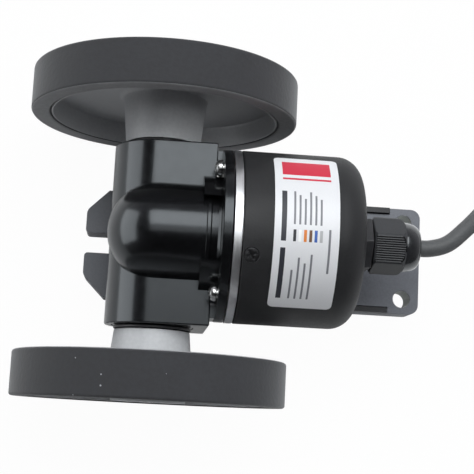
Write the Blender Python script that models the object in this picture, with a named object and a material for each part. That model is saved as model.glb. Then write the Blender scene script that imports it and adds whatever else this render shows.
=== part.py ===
# Wheel-type rotary encoder: two measuring wheels on one axle, crossed gears in a T-shaped housing,
# an optical encoder at right angles, a cable gland, two metres of cable and a mounting bracket.
# Metres, +Z up. The origin is the middle of the bracket's mounting face, +X runs along the encoder
# to the cable and +Y along the wheel axle.
import math

import bmesh
import bpy
from mathutils import Matrix, Vector

for item in list(bpy.data.objects):
    bpy.data.objects.remove(item, do_unlink=True)

# Clearances
FIT = 0.0003
RUNNING = 0.00005
BORE_SLACK = 0.0001
SCREW_SLACK = 0.00015
NOSE_GAP = 0.0007

# Where the two axes lie over the mounting face
AXLE_X = -0.0305
AXLE_HEIGHT = 0.0270
ENCODER_RISE = 0.0095

# Wheels, hubs and axle
WHEEL_DIAMETER = 0.0796
WHEEL_WIDTH = 0.0130
WHEEL_INNER_GAP = 0.0710
TYRE_THICKNESS = 0.0056
TYRE_EDGE = 0.0009
RIM_THICKNESS = 0.0010
RIM_INSET = 0.0003
WEB_DEPTH = 0.0050
WEB_THICKNESS = 0.0035
HUB_NECK_RADIUS = 0.0111
HUB_FACE_RADIUS = 0.0119
HUB_ROOT_RADIUS = 0.0140
HUB_BOSS_RADIUS = 0.0110
HUB_POCKET_RADIUS = 0.0065
HUB_POCKET_DEPTH = 0.0024
AXLE_RADIUS = 0.0030
AXLE_TAP_DEPTH = 0.0090
DUST_DISC_RADIUS = 0.01135
DUST_DISC_THICKNESS = 0.0007
SLEEVE_RADIUS = 0.0044

# Crossed helical gears, the same pair on both shafts
GEAR_TEETH = 8
GEAR_FACE = 0.0118
GEAR_SLICES = 8
GEAR_ADDENDUM = 0.00080
GEAR_DEDENDUM = 0.00105
GEAR_BACKLASH = 0.00034
GEAR_PRESSURE_ANGLE = math.radians(20.0)
GEAR_BOSS_RADIUS = 0.0048
GEAR_BOSS_LENGTH = 0.0040
PIN_RADIUS = 0.00075

# Ball bearings: bore radius, outer radius and width
AXLE_BEARING = (0.0030, 0.0095, 0.0060)
NOSE_BEARING = (0.0030, 0.0065, 0.0050)
RACE_HALF_GAP = 0.0007
SHIELD_GAP = 0.0002

# Gear housing
HOUSING_LENGTH = 0.0532
HOUSING_RADIUS = 0.0141
BLOCK_REACH = 0.0160
BLOCK_EDGE = 0.0008
DOME_RADIUS = 0.0146
DOME_LENGTH = 0.0134
COLLAR_RADIUS = 0.0151
COLLAR_END = 0.0174
FLANGE_RADIUS = 0.0250
FLANGE_THICKNESS = 0.0026
LOBE_RADIUS = 0.0024
LOBE_SIDE = 0.0146
LOBE_RISE = 0.0060
LOBE_LENGTH = 0.0052
PAD_REACH = 0.0120
PAD_HALF_WIDTH = 0.0150
GEAR_CAVITY_RADIUS = 0.0062
CAP_RADIUS = 0.0118
CAP_BORE_RADIUS = 0.0086
CAP_THICKNESS = 0.0013

# Encoder body, cover and label
BODY_RADIUS = 0.0251
BODY_RING_WIDTH = 0.0022
SPIGOT_RADIUS = 0.0229
SPIGOT_LENGTH = 0.0060
BODY_FLOOR = 0.0020
BODY_CAVITY_RADIUS = 0.0183
BODY_REGISTER = 0.0010
COVER_LENGTH = 0.0347
COVER_WALL = 0.0019
COVER_END_WALL = 0.0023
COVER_FILLET = 0.0070
LABEL_START = 0.0082
LABEL_WIDTH = 0.0178
LABEL_THICKNESS = 0.0002
LABEL_FACETS = 15
SEAL_RING_RADIUS = 0.0005
SEAL_GROOVE_PLACE = 0.0048
SEAL_GROOVE_WIDTH = 0.0012

# Screws: shank radius, head radius and head height
FLANGE_SCREW = (0.0015, 0.0024, 0.0021)
FLANGE_SCREW_LENGTH = 0.0088
FLANGE_SCREW_CIRCLE = 0.0206
AXLE_SCREW = (0.0015, 0.0055, 0.0021)
AXLE_SCREW_LENGTH = 0.0085
COVER_SCREW = (0.0010, 0.0020, 0.0011)
COVER_SCREW_LENGTH = 0.0048
COVER_SCREW_PLACE = 0.0029
COVER_SCREW_ANGLE = math.radians(-19.7)
BASE_SCREW = (0.0015, 0.0028, 0.0022)
BASE_SCREW_DEPTH = 0.0032
BASE_SCREW_ENTRY = 0.0070
BASE_SCREW_SIDE = 0.0100
BASE_SCREW_NEAR = -0.0085
BASE_SCREW_FAR = 0.0110
CROWN_SHARE = 0.7
SHOULDER_SHARE = 0.45

# Inside the encoder
SHAFT_TAIL = 0.0385
DISC_RADIUS = 0.0160
DISC_THICKNESS = 0.0008
DISC_PLACE = 0.0340
DISC_HUB_RADIUS = 0.0060
DISC_SEAT_RADIUS = 0.0080
DISC_SEAT_THICKNESS = 0.0012
DISC_HUB_LENGTH = 0.0050
BOARD_RADIUS = 0.0224
BOARD_THICKNESS = 0.0016
BOARD_PLACE = 0.0402
BOARD_BORE_RADIUS = 0.0035
POST_RADIUS = 0.0015
POST_CIRCLE = 0.0206
PEG_RADIUS = 0.0008
PEG_RISE = 0.0010
CARRIER_THICKNESS = 0.0015
OPTIC_WIDTH = 0.0080
OPTIC_LOW = 0.0100
OPTIC_HIGH = 0.0165
OPTIC_GAP = 0.0009
HEADER_LENGTH = 0.0150
HEADER_DEPTH = 0.0030
HEADER_HEIGHT = 0.0045
HEADER_RISE = 0.0070

# Cable gland
GLAND_THREAD_RADIUS = 0.0059
GLAND_BORE_RADIUS = 0.0031
GLAND_HEX_FLATS = 0.0145
GLAND_HEX_WIDTH = 0.0040
GLAND_TAIL = 0.0060
GLAND_STEM = 0.0062
LOCKNUT_WIDTH = 0.0029
NUT_FLATS = 0.01455
NUT_WIDTH = 0.0089
NUT_DOME_LENGTH = 0.0053
NUT_DOME_RADIUS = 0.0073
NUT_MOUTH_RADIUS = 0.0046
SEAL_RADIUS = 0.0046
SEAL_LENGTH = 0.0050

# Bracket and the cradle that carries the encoder on it
BRACKET_LENGTH = 0.1056
BRACKET_WIDTH = 0.0336
BRACKET_THICKNESS = 0.0094
BRACKET_CORNER = 0.0030
EAR_CHAMFER = 0.0066
SLOT_WIDTH = 0.0063
SLOT_LENGTH = 0.0144
MOUNT_HOLE_RADIUS = 0.0027
MOUNT_HOLE_INSET = 0.0054
MOUNT_HOLE_SPACING = 0.0242
RAIL_WIDTH = 0.0020
RAIL_DEPTH = 0.0020
RAIL_START = 0.0243
RAIL_LENGTH = 0.0489
RAIL_TAIL = 0.0170
RAIL_TAIL_RISE = 0.0012
WEB_START = 0.0300
WEB_LENGTH = 0.0200

# Cable, its stored coil and its stripped end
CABLE_DIAMETER = 0.0050
CABLE_LENGTH = 2.0
COIL_CENTRE_X = 0.1400
COIL_CENTRE_Y = 0.0080
COIL_INNER_RADIUS = 0.0212
COIL_TURNS = 2.25
COIL_PITCH = 0.0064
COIL_STEP = 0.0062
COIL_LIFT = 0.0015
COIL_POINTS = 20
COIL_LAYERS = 4
COIL_CLIMB_TURNS = 0.5
COIL_RUN_IN = 0.0080
TIE_WIDTH = 0.0040
TIE_THICKNESS = 0.0008
TIE_SLACK = 0.0006
LEAD_RADIUS = 0.0006
LEAD_LENGTH = 0.0400
LEAD_SPREAD = 0.0030
LEAD_CIRCLE = 0.0016
LEAD_COUNT = 5
LEAD_TURN = 0.3
LEAD_BEND = 0.6
SLEEVE_LENGTH = 0.0020

# Looks: colour, roughness, metallic
BLACK_GLOSS = ((0.010, 0.010, 0.011), 0.18, 0.0)
BLACK_SATIN = ((0.012, 0.012, 0.013), 0.35, 0.0)
BLACK_NYLON = ((0.018, 0.018, 0.019), 0.40, 0.0)
GREY_CAST = ((0.075, 0.077, 0.082), 0.55, 0.0)
GREY_HUB = ((0.58, 0.59, 0.60), 0.45, 0.0)
RUBBER_GREY = ((0.070, 0.070, 0.076), 0.85, 0.0)
RUBBER_BLACK = ((0.015, 0.015, 0.015), 0.75, 0.0)
CABLE_GREY = ((0.055, 0.055, 0.060), 0.50, 0.0)
BRIGHT_STEEL = ((0.62, 0.61, 0.59), 0.22, 1.0)
ALUMINIUM = ((0.78, 0.78, 0.79), 0.28, 1.0)
BRASS = ((0.72, 0.53, 0.24), 0.30, 1.0)
FOIL = ((0.76, 0.76, 0.77), 0.35, 0.4)
BOARD_GREEN = ((0.02, 0.16, 0.07), 0.45, 0.0)
DISC_DARK = ((0.10, 0.10, 0.12), 0.15, 0.6)
WHITE_NYLON = ((0.75, 0.74, 0.70), 0.50, 0.0)
LEAD_COPPER = ((0.70, 0.34, 0.18), 0.35, 1.0)

# Values worked out from the sizes above
SECTIONS_FINE = 48
SECTIONS = 32
SECTIONS_SMALL = 18
SECTIONS_BORE = 24
BORE_TURN = math.radians(2.5)
SECTIONS_SCREW = 8
HOUSING_DOME_STEPS = 8
NUT_DOME_STEPS = 5
FILLET_STEPS = 4
INNER_FILLET_STEPS = 2
CORNER_STEPS = 4
SLOT_STEPS = 8
SEAL_SIDES = 6
CURVE_STEPS = 40
SHARP_ANGLE = math.radians(32)
WHEEL_RADIUS = WHEEL_DIAMETER / 2
FLOOR = AXLE_HEIGHT - WHEEL_RADIUS
ENCODER_HEIGHT = AXLE_HEIGHT + ENCODER_RISE
HOUSING_END = HOUSING_LENGTH / 2
CAP_END = HOUSING_END
CAP_START = CAP_END - CAP_THICKNESS
DISC_START = HOUSING_END + FIT
HUB_START = DISC_START + DUST_DISC_THICKNESS + FIT
WHEEL_START = WHEEL_INNER_GAP / 2
WHEEL_END = WHEEL_START + WHEEL_WIDTH
RIM_RADIUS = WHEEL_RADIUS - TYRE_THICKNESS - FIT
HUB_POCKET_FLOOR = WHEEL_END - HUB_POCKET_DEPTH
AXLE_END = HUB_POCKET_FLOOR - FIT
AXLE_BEARING_PLACE = CAP_START - FIT - AXLE_BEARING[2]
PAD_BOTTOM = BRACKET_THICKNESS + FIT - AXLE_HEIGHT
FLANGE_END = COLLAR_END + FLANGE_THICKNESS
BODY_START = FLANGE_END + FIT
BODY_RING_END = BODY_START + BODY_RING_WIDTH
SPIGOT_END = BODY_RING_END + SPIGOT_LENGTH
BODY_FLOOR_END = BODY_RING_END + BODY_FLOOR
REGISTER_START = BODY_START - BODY_REGISTER
REAR_BEARING_PLACE = REGISTER_START - FIT - AXLE_BEARING[2]
NOSE_BEARING_PLACE = -(GEAR_FACE / 2 + NOSE_GAP + NOSE_BEARING[2])
SHAFT_NOSE = NOSE_BEARING_PLACE
COVER_START = BODY_RING_END + FIT
COVER_END = COVER_START + COVER_LENGTH
COVER_BORE = SPIGOT_RADIUS + FIT
COVER_RADIUS = COVER_BORE + COVER_WALL
GLAND_HEX_START = COVER_END + FIT
GLAND_HEX_END = GLAND_HEX_START + GLAND_HEX_WIDTH
NUT_START = GLAND_HEX_END + FIT
NUT_END = NUT_START + NUT_WIDTH
DOME_END = NUT_END + NUT_DOME_LENGTH
BRACKET_LEFT = -BRACKET_LENGTH / 2
BRACKET_RIGHT = BRACKET_LENGTH / 2
CABLE_RADIUS = CABLE_DIAMETER / 2
CABLE_EXIT = AXLE_X + DOME_END
GEAR_RADIUS = ENCODER_RISE / 2


def object_of(shape, name="scratch"):
    """Closes a bmesh into an object with its faces pointing out."""
    bmesh.ops.remove_doubles(shape, verts=shape.verts, dist=1e-7)
    bmesh.ops.recalc_face_normals(shape, faces=shape.faces)
    mesh = bpy.data.meshes.new(name)
    shape.to_mesh(mesh)
    shape.free()
    made = bpy.data.objects.new(name, mesh)
    bpy.context.scene.collection.objects.link(made)
    return made


def along(axis):
    """Turns local +Z to the named axis."""
    if axis == "X":
        return Matrix.Rotation(math.pi / 2, 4, "Y")
    if axis == "Y":
        return Matrix.Rotation(-math.pi / 2, 4, "X")
    return Matrix.Identity(4)


def turned(profile, axis, centre=(0, 0, 0), sections=SECTIONS, start=0.0, sweep=2 * math.pi):
    """A profile of (along, radius) points turned about an axis."""
    shape = bmesh.new()
    rows = [shape.verts.new((radius, 0, place)) for place, radius in profile]
    solid = min(radius for place, radius in profile) > 0
    if solid:
        shape.faces.new(rows)
    else:
        for low, high in zip(rows, rows[1:]):
            shape.edges.new((low, high))
    bmesh.ops.rotate(shape, verts=shape.verts, matrix=Matrix.Rotation(start, 3, "Z"))
    whole = sweep > 2 * math.pi - 1e-6
    if solid and whole:
        bmesh.ops.delete(shape, geom=shape.faces[:], context="FACES_ONLY")
    bmesh.ops.spin(
        shape,
        geom=shape.verts[:] + shape.edges[:] + shape.faces[:],
        cent=(0, 0, 0),
        axis=(0, 0, 1),
        angle=sweep,
        steps=sections,
        use_merge=whole,
    )
    bmesh.ops.transform(shape, matrix=Matrix.Translation(centre) @ along(axis), verts=shape.verts)
    return object_of(shape)


def prism(outline, depth, axis="Z", centre=(0, 0, 0)):
    """An outline pushed along an axis by its depth."""
    shape = bmesh.new()
    face = shape.faces.new([shape.verts.new((x, y, 0)) for x, y in outline])
    pushed = bmesh.ops.extrude_face_region(shape, geom=[face])
    moved = [part for part in pushed["geom"] if isinstance(part, bmesh.types.BMVert)]
    bmesh.ops.translate(shape, vec=(0, 0, depth), verts=moved)
    bmesh.ops.transform(shape, matrix=Matrix.Translation(centre) @ along(axis), verts=shape.verts)
    return object_of(shape)


def box(low, high):
    """A box between two corners."""
    shape = bmesh.new()
    size = Vector(high) - Vector(low)
    middle = (Vector(high) + Vector(low)) / 2
    bmesh.ops.create_cube(shape, size=1.0)
    stretch = Matrix.Translation(middle) @ Matrix.Diagonal(size).to_4x4()
    bmesh.ops.transform(shape, matrix=stretch, verts=shape.verts)
    return object_of(shape)


def rod(radius, start, end, axis, centre=(0, 0, 0), sections=SECTIONS_SMALL):
    """A solid round bar along an axis."""
    return turned([(start, 0), (start, radius), (end, radius), (end, 0)], axis, centre, sections)


def ring(bore, radius, start, end, axis, centre=(0, 0, 0), sections=SECTIONS):
    """A plain ring along an axis."""
    return turned([(start, bore), (start, radius), (end, radius), (end, bore)], axis, centre, sections)


def hexagon(flats):
    """A hexagon with a flat towards local +X."""
    corner = flats / 2 / math.cos(math.pi / 6)
    angles = [math.pi / 6 + turn * math.pi / 3 for turn in range(6)]
    return [(corner * math.cos(angle), corner * math.sin(angle)) for angle in angles]


def bake(made):
    """Keeps what an object's modifiers make of it."""
    graph = bpy.context.evaluated_depsgraph_get()
    graph.update()
    mesh = bpy.data.meshes.new_from_object(made.evaluated_get(graph))
    made.modifiers.clear()
    made.data = mesh


def worked(made, tools, operation):
    """Joins tools to an object or cuts them from it."""
    for tool in tools:
        step = made.modifiers.new(operation.lower(), "BOOLEAN")
        step.operation = operation
        step.solver = "EXACT"
        step.object = tool
        bake(made)
        bpy.data.objects.remove(tool, do_unlink=True)
    return made


def joined(made, *tools):
    return worked(made, tools, "UNION")


def cut(made, *tools):
    return worked(made, tools, "DIFFERENCE")


def named(made, name, look, parent=None):
    """Gives a finished solid its name, look, shading and axis."""
    made.name = name
    made.data.name = name
    colour, roughness, metallic = look
    material = bpy.data.materials.new(name)
    material.use_nodes = True
    shader = material.node_tree.nodes["Principled BSDF"]
    shader.inputs["Base Color"].default_value = (*colour, 1.0)
    shader.inputs["Roughness"].default_value = roughness
    shader.inputs["Metallic"].default_value = metallic
    made.data.materials.clear()
    made.data.materials.append(material)
    made.data.shade_smooth()
    made.data.set_sharp_from_angle(angle=SHARP_ANGLE)
    made.parent = parent
    return made


def axis_empty(name, place):
    empty = bpy.data.objects.new(name, None)
    empty.location = place
    bpy.context.scene.collection.objects.link(empty)
    return empty


axle_axis = axis_empty("axle_axis", (AXLE_X, 0, AXLE_HEIGHT))
encoder_axis = axis_empty("encoder_axis", (AXLE_X, 0, ENCODER_HEIGHT))


def screw(size, length, place, axis, centre, turn=1):
    """A round-headed screw: its head's underside is at place and its shank runs on by turn times length."""
    shank, head, height = size
    crown = place - turn * height
    shoulder = place - turn * height * SHOULDER_SHARE
    tip = place + turn * length
    profile = [
        (crown, 0),
        (crown, head * CROWN_SHARE),
        (shoulder, head),
        (place, head),
        (place, shank),
        (tip, shank),
        (tip, 0),
    ]
    return turned(profile, axis, centre, SECTIONS_SCREW)


def on_circle(radius, angle):
    """A point round the encoder axis, counted from +Z towards +Y."""
    return (0, radius * math.sin(angle), radius * math.cos(angle))


# Shielded ball bearings: an inner race that turns with its shaft and an outer race with its two shields
def bearing(name, size, place, axis, parent):
    bore, radius, width = size
    seat = radius - RUNNING
    end = place + width
    middle = (bore + radius) / 2
    land = middle - RACE_HALF_GAP
    shield = land + SHIELD_GAP
    inner = ring(bore + RUNNING, land, place, end, axis, sections=SECTIONS_SMALL)
    outer = ring(shield, seat, place, end, axis, sections=SECTIONS_SMALL)
    named(inner, f"{name}_inner_race", BRIGHT_STEEL, parent)
    named(outer, f"{name}_outer_race", BRIGHT_STEEL, parent)


# Helical gear at 45 degrees, standing on its axis with a pinned boss at its far end
def gear_outline():
    """One turn of the tooth outline in the gear's own plane as (radius, angle) points."""
    slope = math.tan(GEAR_PRESSURE_ANGLE) / math.cos(math.pi / 4)
    base = GEAR_RADIUS * math.cos(math.atan(slope))
    pitch_half = math.pi / GEAR_TEETH / 2 - GEAR_BACKLASH / 2 / GEAR_RADIUS

    def half_angle(radius):
        def involute(size):
            roll = math.acos(min(1.0, base / size))
            return math.tan(roll) - roll

        return pitch_half + involute(GEAR_RADIUS) - involute(max(radius, base))

    root = GEAR_RADIUS - GEAR_DEDENDUM
    tip = GEAR_RADIUS + GEAR_ADDENDUM
    flank = [root, GEAR_RADIUS, tip]
    outline = []
    for tooth in range(GEAR_TEETH):
        middle = 2 * math.pi * tooth / GEAR_TEETH
        outline += [(radius, middle - half_angle(radius)) for radius in flank]
        outline += [(radius, middle + half_angle(radius)) for radius in reversed(flank)]
    return outline


def helical_gear(axis, first_tooth, hole_axis):
    """A right-handed gear whose tooth number nought points at the given angle at mid face."""
    outline = gear_outline()
    shape = bmesh.new()
    rows = []
    for number in range(GEAR_SLICES + 1):
        place = GEAR_FACE * (number / GEAR_SLICES - 0.5)
        twist = place / GEAR_RADIUS + first_tooth
        row = []
        for radius, angle in outline:
            turn = angle + twist
            row.append(shape.verts.new((radius * math.cos(turn), radius * math.sin(turn), place)))
        rows.append(row)
    count = len(outline)
    for low, high in zip(rows, rows[1:]):
        for number in range(count):
            following = (number + 1) % count
            shape.faces.new((low[number], low[following], high[following], high[number]))
    shape.faces.new(rows[0])
    shape.faces.new(rows[-1])
    bmesh.ops.transform(shape, matrix=along(axis), verts=shape.verts)
    boss_end = GEAR_FACE / 2 + GEAR_BOSS_LENGTH
    made = joined(object_of(shape), rod(GEAR_BOSS_RADIUS, GEAR_FACE / 2 - FIT, boss_end, axis))
    bore = rod(AXLE_RADIUS + BORE_SLACK, -boss_end, 2 * boss_end, axis)
    return cut(made, bore, pin_hole(axis, hole_axis))


def pin_place(axis):
    """Where the cross pin stands along its shaft."""
    middle = (GEAR_FACE + GEAR_BOSS_LENGTH) / 2
    return (middle, 0, 0) if axis == "X" else (0, middle, 0)


def pin_hole(axis, hole_axis):
    reach = 2 * GEAR_BOSS_RADIUS
    return rod(PIN_RADIUS + BORE_SLACK, -reach, reach, hole_axis, pin_place(axis), SECTIONS_SCREW)


def cross_pin(axis, hole_axis):
    reach = GEAR_BOSS_RADIUS - BORE_SLACK
    return rod(PIN_RADIUS, -reach, reach, hole_axis, pin_place(axis), SECTIONS_SCREW)


# The wheel axle, tapped at both ends
axle_profile = [
    (AXLE_TAP_DEPTH - AXLE_END, 0),
    (AXLE_TAP_DEPTH - AXLE_END, AXLE_SCREW[0] + SCREW_SLACK),
    (-AXLE_END, AXLE_SCREW[0] + SCREW_SLACK),
    (-AXLE_END, AXLE_RADIUS),
    (AXLE_END, AXLE_RADIUS),
    (AXLE_END, AXLE_SCREW[0] + SCREW_SLACK),
    (AXLE_END - AXLE_TAP_DEPTH, AXLE_SCREW[0] + SCREW_SLACK),
    (AXLE_END - AXLE_TAP_DEPTH, 0),
]
wheel_axle = cut(turned(axle_profile, "Y", sections=SECTIONS_SMALL), pin_hole("Y", "X"))
named(wheel_axle, "wheel_axle", BRIGHT_STEEL, axle_axis)


# Each wheel: a moulded hub with its web and rim, a rubber tyre, a dust disc and a screw
def wheel(side, label):
    def placed(profile):
        return [(side * place, radius) for place, radius in profile]

    web = WHEEL_START + WEB_DEPTH
    bore = AXLE_RADIUS + BORE_SLACK
    hub = [
        (HUB_START, bore),
        (HUB_START, HUB_NECK_RADIUS),
        (WHEEL_START, HUB_FACE_RADIUS),
        (web, HUB_ROOT_RADIUS),
        (web, RIM_RADIUS - RIM_THICKNESS),
        (WHEEL_START + RIM_INSET, RIM_RADIUS - RIM_THICKNESS),
        (WHEEL_START + RIM_INSET, RIM_RADIUS),
        (WHEEL_END - RIM_INSET, RIM_RADIUS),
        (WHEEL_END - RIM_INSET, RIM_RADIUS - RIM_THICKNESS),
        (web + WEB_THICKNESS, RIM_RADIUS - RIM_THICKNESS),
        (web + WEB_THICKNESS, HUB_BOSS_RADIUS),
        (WHEEL_END, HUB_BOSS_RADIUS),
        (WHEEL_END, HUB_POCKET_RADIUS),
        (HUB_POCKET_FLOOR, HUB_POCKET_RADIUS),
        (HUB_POCKET_FLOOR, bore),
    ]
    tyre_bore = RIM_RADIUS + FIT
    tyre = [
        (WHEEL_START, tyre_bore),
        (WHEEL_START, WHEEL_RADIUS - TYRE_EDGE),
        (WHEEL_START + TYRE_EDGE, WHEEL_RADIUS),
        (WHEEL_END - TYRE_EDGE, WHEEL_RADIUS),
        (WHEEL_END, WHEEL_RADIUS - TYRE_EDGE),
        (WHEEL_END, tyre_bore),
    ]
    sleeve_start = AXLE_BEARING_PLACE + AXLE_BEARING[2] + FIT
    disc = [
        (sleeve_start, bore),
        (sleeve_start, SLEEVE_RADIUS),
        (DISC_START, SLEEVE_RADIUS),
        (DISC_START, DUST_DISC_RADIUS),
        (DISC_START + DUST_DISC_THICKNESS, DUST_DISC_RADIUS),
        (DISC_START + DUST_DISC_THICKNESS, bore),
    ]
    fixing = screw(AXLE_SCREW, AXLE_SCREW_LENGTH, side * (HUB_POCKET_FLOOR + FIT), "Y", (0, 0, 0), -side)
    named(turned(placed(hub), "Y", sections=SECTIONS_BORE), f"wheel_hub_{label}", GREY_HUB, axle_axis)
    named(turned(placed(tyre), "Y", sections=SECTIONS_FINE), f"tyre_{label}", RUBBER_GREY, axle_axis)
    named(turned(placed(disc), "Y", sections=SECTIONS_SMALL), f"dust_disc_{label}", BLACK_NYLON, axle_axis)
    named(fixing, f"axle_screw_{label}", BRIGHT_STEEL, axle_axis)


wheel(1, "left")
wheel(-1, "right")
bearing("axle_bearing_left", AXLE_BEARING, AXLE_BEARING_PLACE, "Y", axle_axis)
bearing("axle_bearing_right", AXLE_BEARING, -AXLE_BEARING_PLACE - AXLE_BEARING[2], "Y", axle_axis)

# The gear pair: a tooth of the axle gear stands up into a gap of the encoder gear
TOOTH_UP_ON_AXLE = -math.pi / 2
GAP_DOWN_ON_SHAFT = math.pi / GEAR_TEETH
named(helical_gear("Y", TOOTH_UP_ON_AXLE, "X"), "axle_gear", BRASS, axle_axis)
named(cross_pin("Y", "X"), "axle_gear_pin", BRIGHT_STEEL, axle_axis)
named(helical_gear("X", GAP_DOWN_ON_SHAFT, "Y"), "encoder_gear", WHITE_NYLON, encoder_axis)
named(cross_pin("X", "Y"), "encoder_gear_pin", BRIGHT_STEEL, encoder_axis)

# The encoder shaft with its bearings, disc hub and code disc
shaft = cut(rod(AXLE_RADIUS, SHAFT_NOSE, SHAFT_TAIL, "X"), pin_hole("X", "Y"))
named(shaft, "encoder_shaft", BRIGHT_STEEL, encoder_axis)
bearing("nose_bearing", NOSE_BEARING, NOSE_BEARING_PLACE, "X", encoder_axis)
bearing("rear_bearing", AXLE_BEARING, REAR_BEARING_PLACE, "X", encoder_axis)
seat_start = DISC_PLACE - FIT - DISC_SEAT_THICKNESS
disc_hub_profile = [
    (DISC_PLACE - FIT - DISC_HUB_LENGTH, AXLE_RADIUS + BORE_SLACK),
    (DISC_PLACE - FIT - DISC_HUB_LENGTH, DISC_HUB_RADIUS),
    (seat_start, DISC_HUB_RADIUS),
    (seat_start, DISC_SEAT_RADIUS),
    (DISC_PLACE - FIT, DISC_SEAT_RADIUS),
    (DISC_PLACE - FIT, AXLE_RADIUS + BORE_SLACK),
]
disc_end = DISC_PLACE + DISC_THICKNESS
code_disc = ring(AXLE_RADIUS + BORE_SLACK, DISC_RADIUS, DISC_PLACE, disc_end, "X", sections=SECTIONS_SMALL)
named(turned(disc_hub_profile, "X", sections=SECTIONS_SMALL), "disc_hub", ALUMINIUM, encoder_axis)
named(code_disc, "code_disc", DISC_DARK, encoder_axis)

# Gear housing: tube and block over the axle, dome over the encoder gear, flange towards the encoder
FLANGE_SCREW_ANGLES = [turn * 2 * math.pi / 3 + math.pi / 3 for turn in range(3)]
rise = Vector((0, 0, ENCODER_RISE))
dome_profile = []
for number in range(HOUSING_DOME_STEPS + 1):
    angle = math.pi / 2 * number / HOUSING_DOME_STEPS
    dome_profile.append((-DOME_RADIUS * math.cos(angle), DOME_RADIUS * math.sin(angle)))
dome_profile[0] = (-DOME_RADIUS, 0)
dome_profile += [
    (DOME_LENGTH, DOME_RADIUS),
    (DOME_LENGTH, COLLAR_RADIUS),
    (COLLAR_END, COLLAR_RADIUS),
    (COLLAR_END, FLANGE_RADIUS),
    (FLANGE_END, FLANGE_RADIUS),
    (FLANGE_END, 0),
]
block_bottom = PAD_BOTTOM + FIT
section = []
for number in range(SECTIONS // 2 + 1):
    angle = math.pi * (0.5 + number / (SECTIONS // 2))
    section.append((HOUSING_RADIUS * math.cos(angle), HOUSING_RADIUS * math.sin(angle)))
section += [
    (0, block_bottom),
    (BLOCK_REACH, block_bottom),
    (BLOCK_REACH, HOUSING_RADIUS - BLOCK_EDGE),
    (BLOCK_REACH - BLOCK_EDGE, HOUSING_RADIUS),
]
housing = prism(section, HOUSING_LENGTH)
housing.data.transform(Matrix.Translation((0, HOUSING_END, 0)) @ Matrix.Rotation(math.pi / 2, 4, "X"))
pad_reach = BLOCK_REACH - BLOCK_EDGE
pad = box((-PAD_REACH, -PAD_HALF_WIDTH, PAD_BOTTOM), (pad_reach, PAD_HALF_WIDTH, -HOUSING_RADIUS / 2))
joined(housing, pad, turned(dome_profile, "X", rise, SECTIONS, BORE_TURN))
for side in (1, -1):
    lobe_place = rise + Vector((0, side * LOBE_SIDE, LOBE_RISE))
    joined(housing, rod(LOBE_RADIUS, COLLAR_END - LOBE_LENGTH, COLLAR_END + FIT, "X", lobe_place))
beyond = 2 * HOUSING_END
seat_radius = AXLE_BEARING[1] + RUNNING
cap_seat = CAP_RADIUS + FIT
axle_cavity = [
    (-beyond, 0),
    (-beyond, cap_seat),
    (-CAP_START + FIT, cap_seat),
    (-CAP_START + FIT, seat_radius),
    (-AXLE_BEARING_PLACE + FIT, seat_radius),
    (-AXLE_BEARING_PLACE + FIT, GEAR_CAVITY_RADIUS),
    (AXLE_BEARING_PLACE - FIT, GEAR_CAVITY_RADIUS),
    (AXLE_BEARING_PLACE - FIT, seat_radius),
    (CAP_START - FIT, seat_radius),
    (CAP_START - FIT, cap_seat),
    (beyond, cap_seat),
    (beyond, 0),
]
nose_radius = NOSE_BEARING[1] + RUNNING
shaft_cavity = [
    (NOSE_BEARING_PLACE - FIT, 0),
    (NOSE_BEARING_PLACE - FIT, nose_radius),
    (NOSE_BEARING_PLACE + NOSE_BEARING[2] + FIT, nose_radius),
    (NOSE_BEARING_PLACE + NOSE_BEARING[2] + FIT, GEAR_CAVITY_RADIUS),
    (REAR_BEARING_PLACE - FIT, GEAR_CAVITY_RADIUS),
    (REAR_BEARING_PLACE - FIT, seat_radius),
    (beyond, seat_radius),
    (beyond, 0),
]
cut(housing, turned(axle_cavity, "Y", sections=SECTIONS_BORE, start=BORE_TURN))
cut(housing, turned(shaft_cavity, "X", rise, SECTIONS_BORE, 2 * BORE_TURN))
for angle in FLANGE_SCREW_ANGLES:
    spot = rise + Vector(on_circle(FLANGE_SCREW_CIRCLE, angle))
    cut(housing, rod(FLANGE_SCREW[0] + SCREW_SLACK, 0, beyond, "X", spot, SECTIONS_SCREW))
    if spot.z < 0:
        cut(housing, rod(FLANGE_SCREW[1] + FIT, -beyond, COLLAR_END, "X", spot, SECTIONS_SMALL))
BASE_SCREW_PLACES = [
    (BASE_SCREW_NEAR, BASE_SCREW_SIDE),
    (BASE_SCREW_NEAR, -BASE_SCREW_SIDE),
    (BASE_SCREW_FAR, BASE_SCREW_SIDE),
    (BASE_SCREW_FAR, -BASE_SCREW_SIDE),
]
for x, y in BASE_SCREW_PLACES:
    tap_top = PAD_BOTTOM + BASE_SCREW_ENTRY + FIT
    tap_radius = BASE_SCREW[0] + SCREW_SLACK
    cut(housing, rod(tap_radius, PAD_BOTTOM - FIT, tap_top, "Z", (x, y, 0), SECTIONS_SCREW))
named(housing, "gear_housing", BLACK_GLOSS, axle_axis)
for side, label in ((1, "left"), (-1, "right")):
    cap = ring(CAP_BORE_RADIUS, CAP_RADIUS, side * CAP_START, side * CAP_END, "Y", sections=SECTIONS_BORE)
    named(cap, f"bearing_cap_{label}", BLACK_GLOSS, axle_axis)

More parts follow.
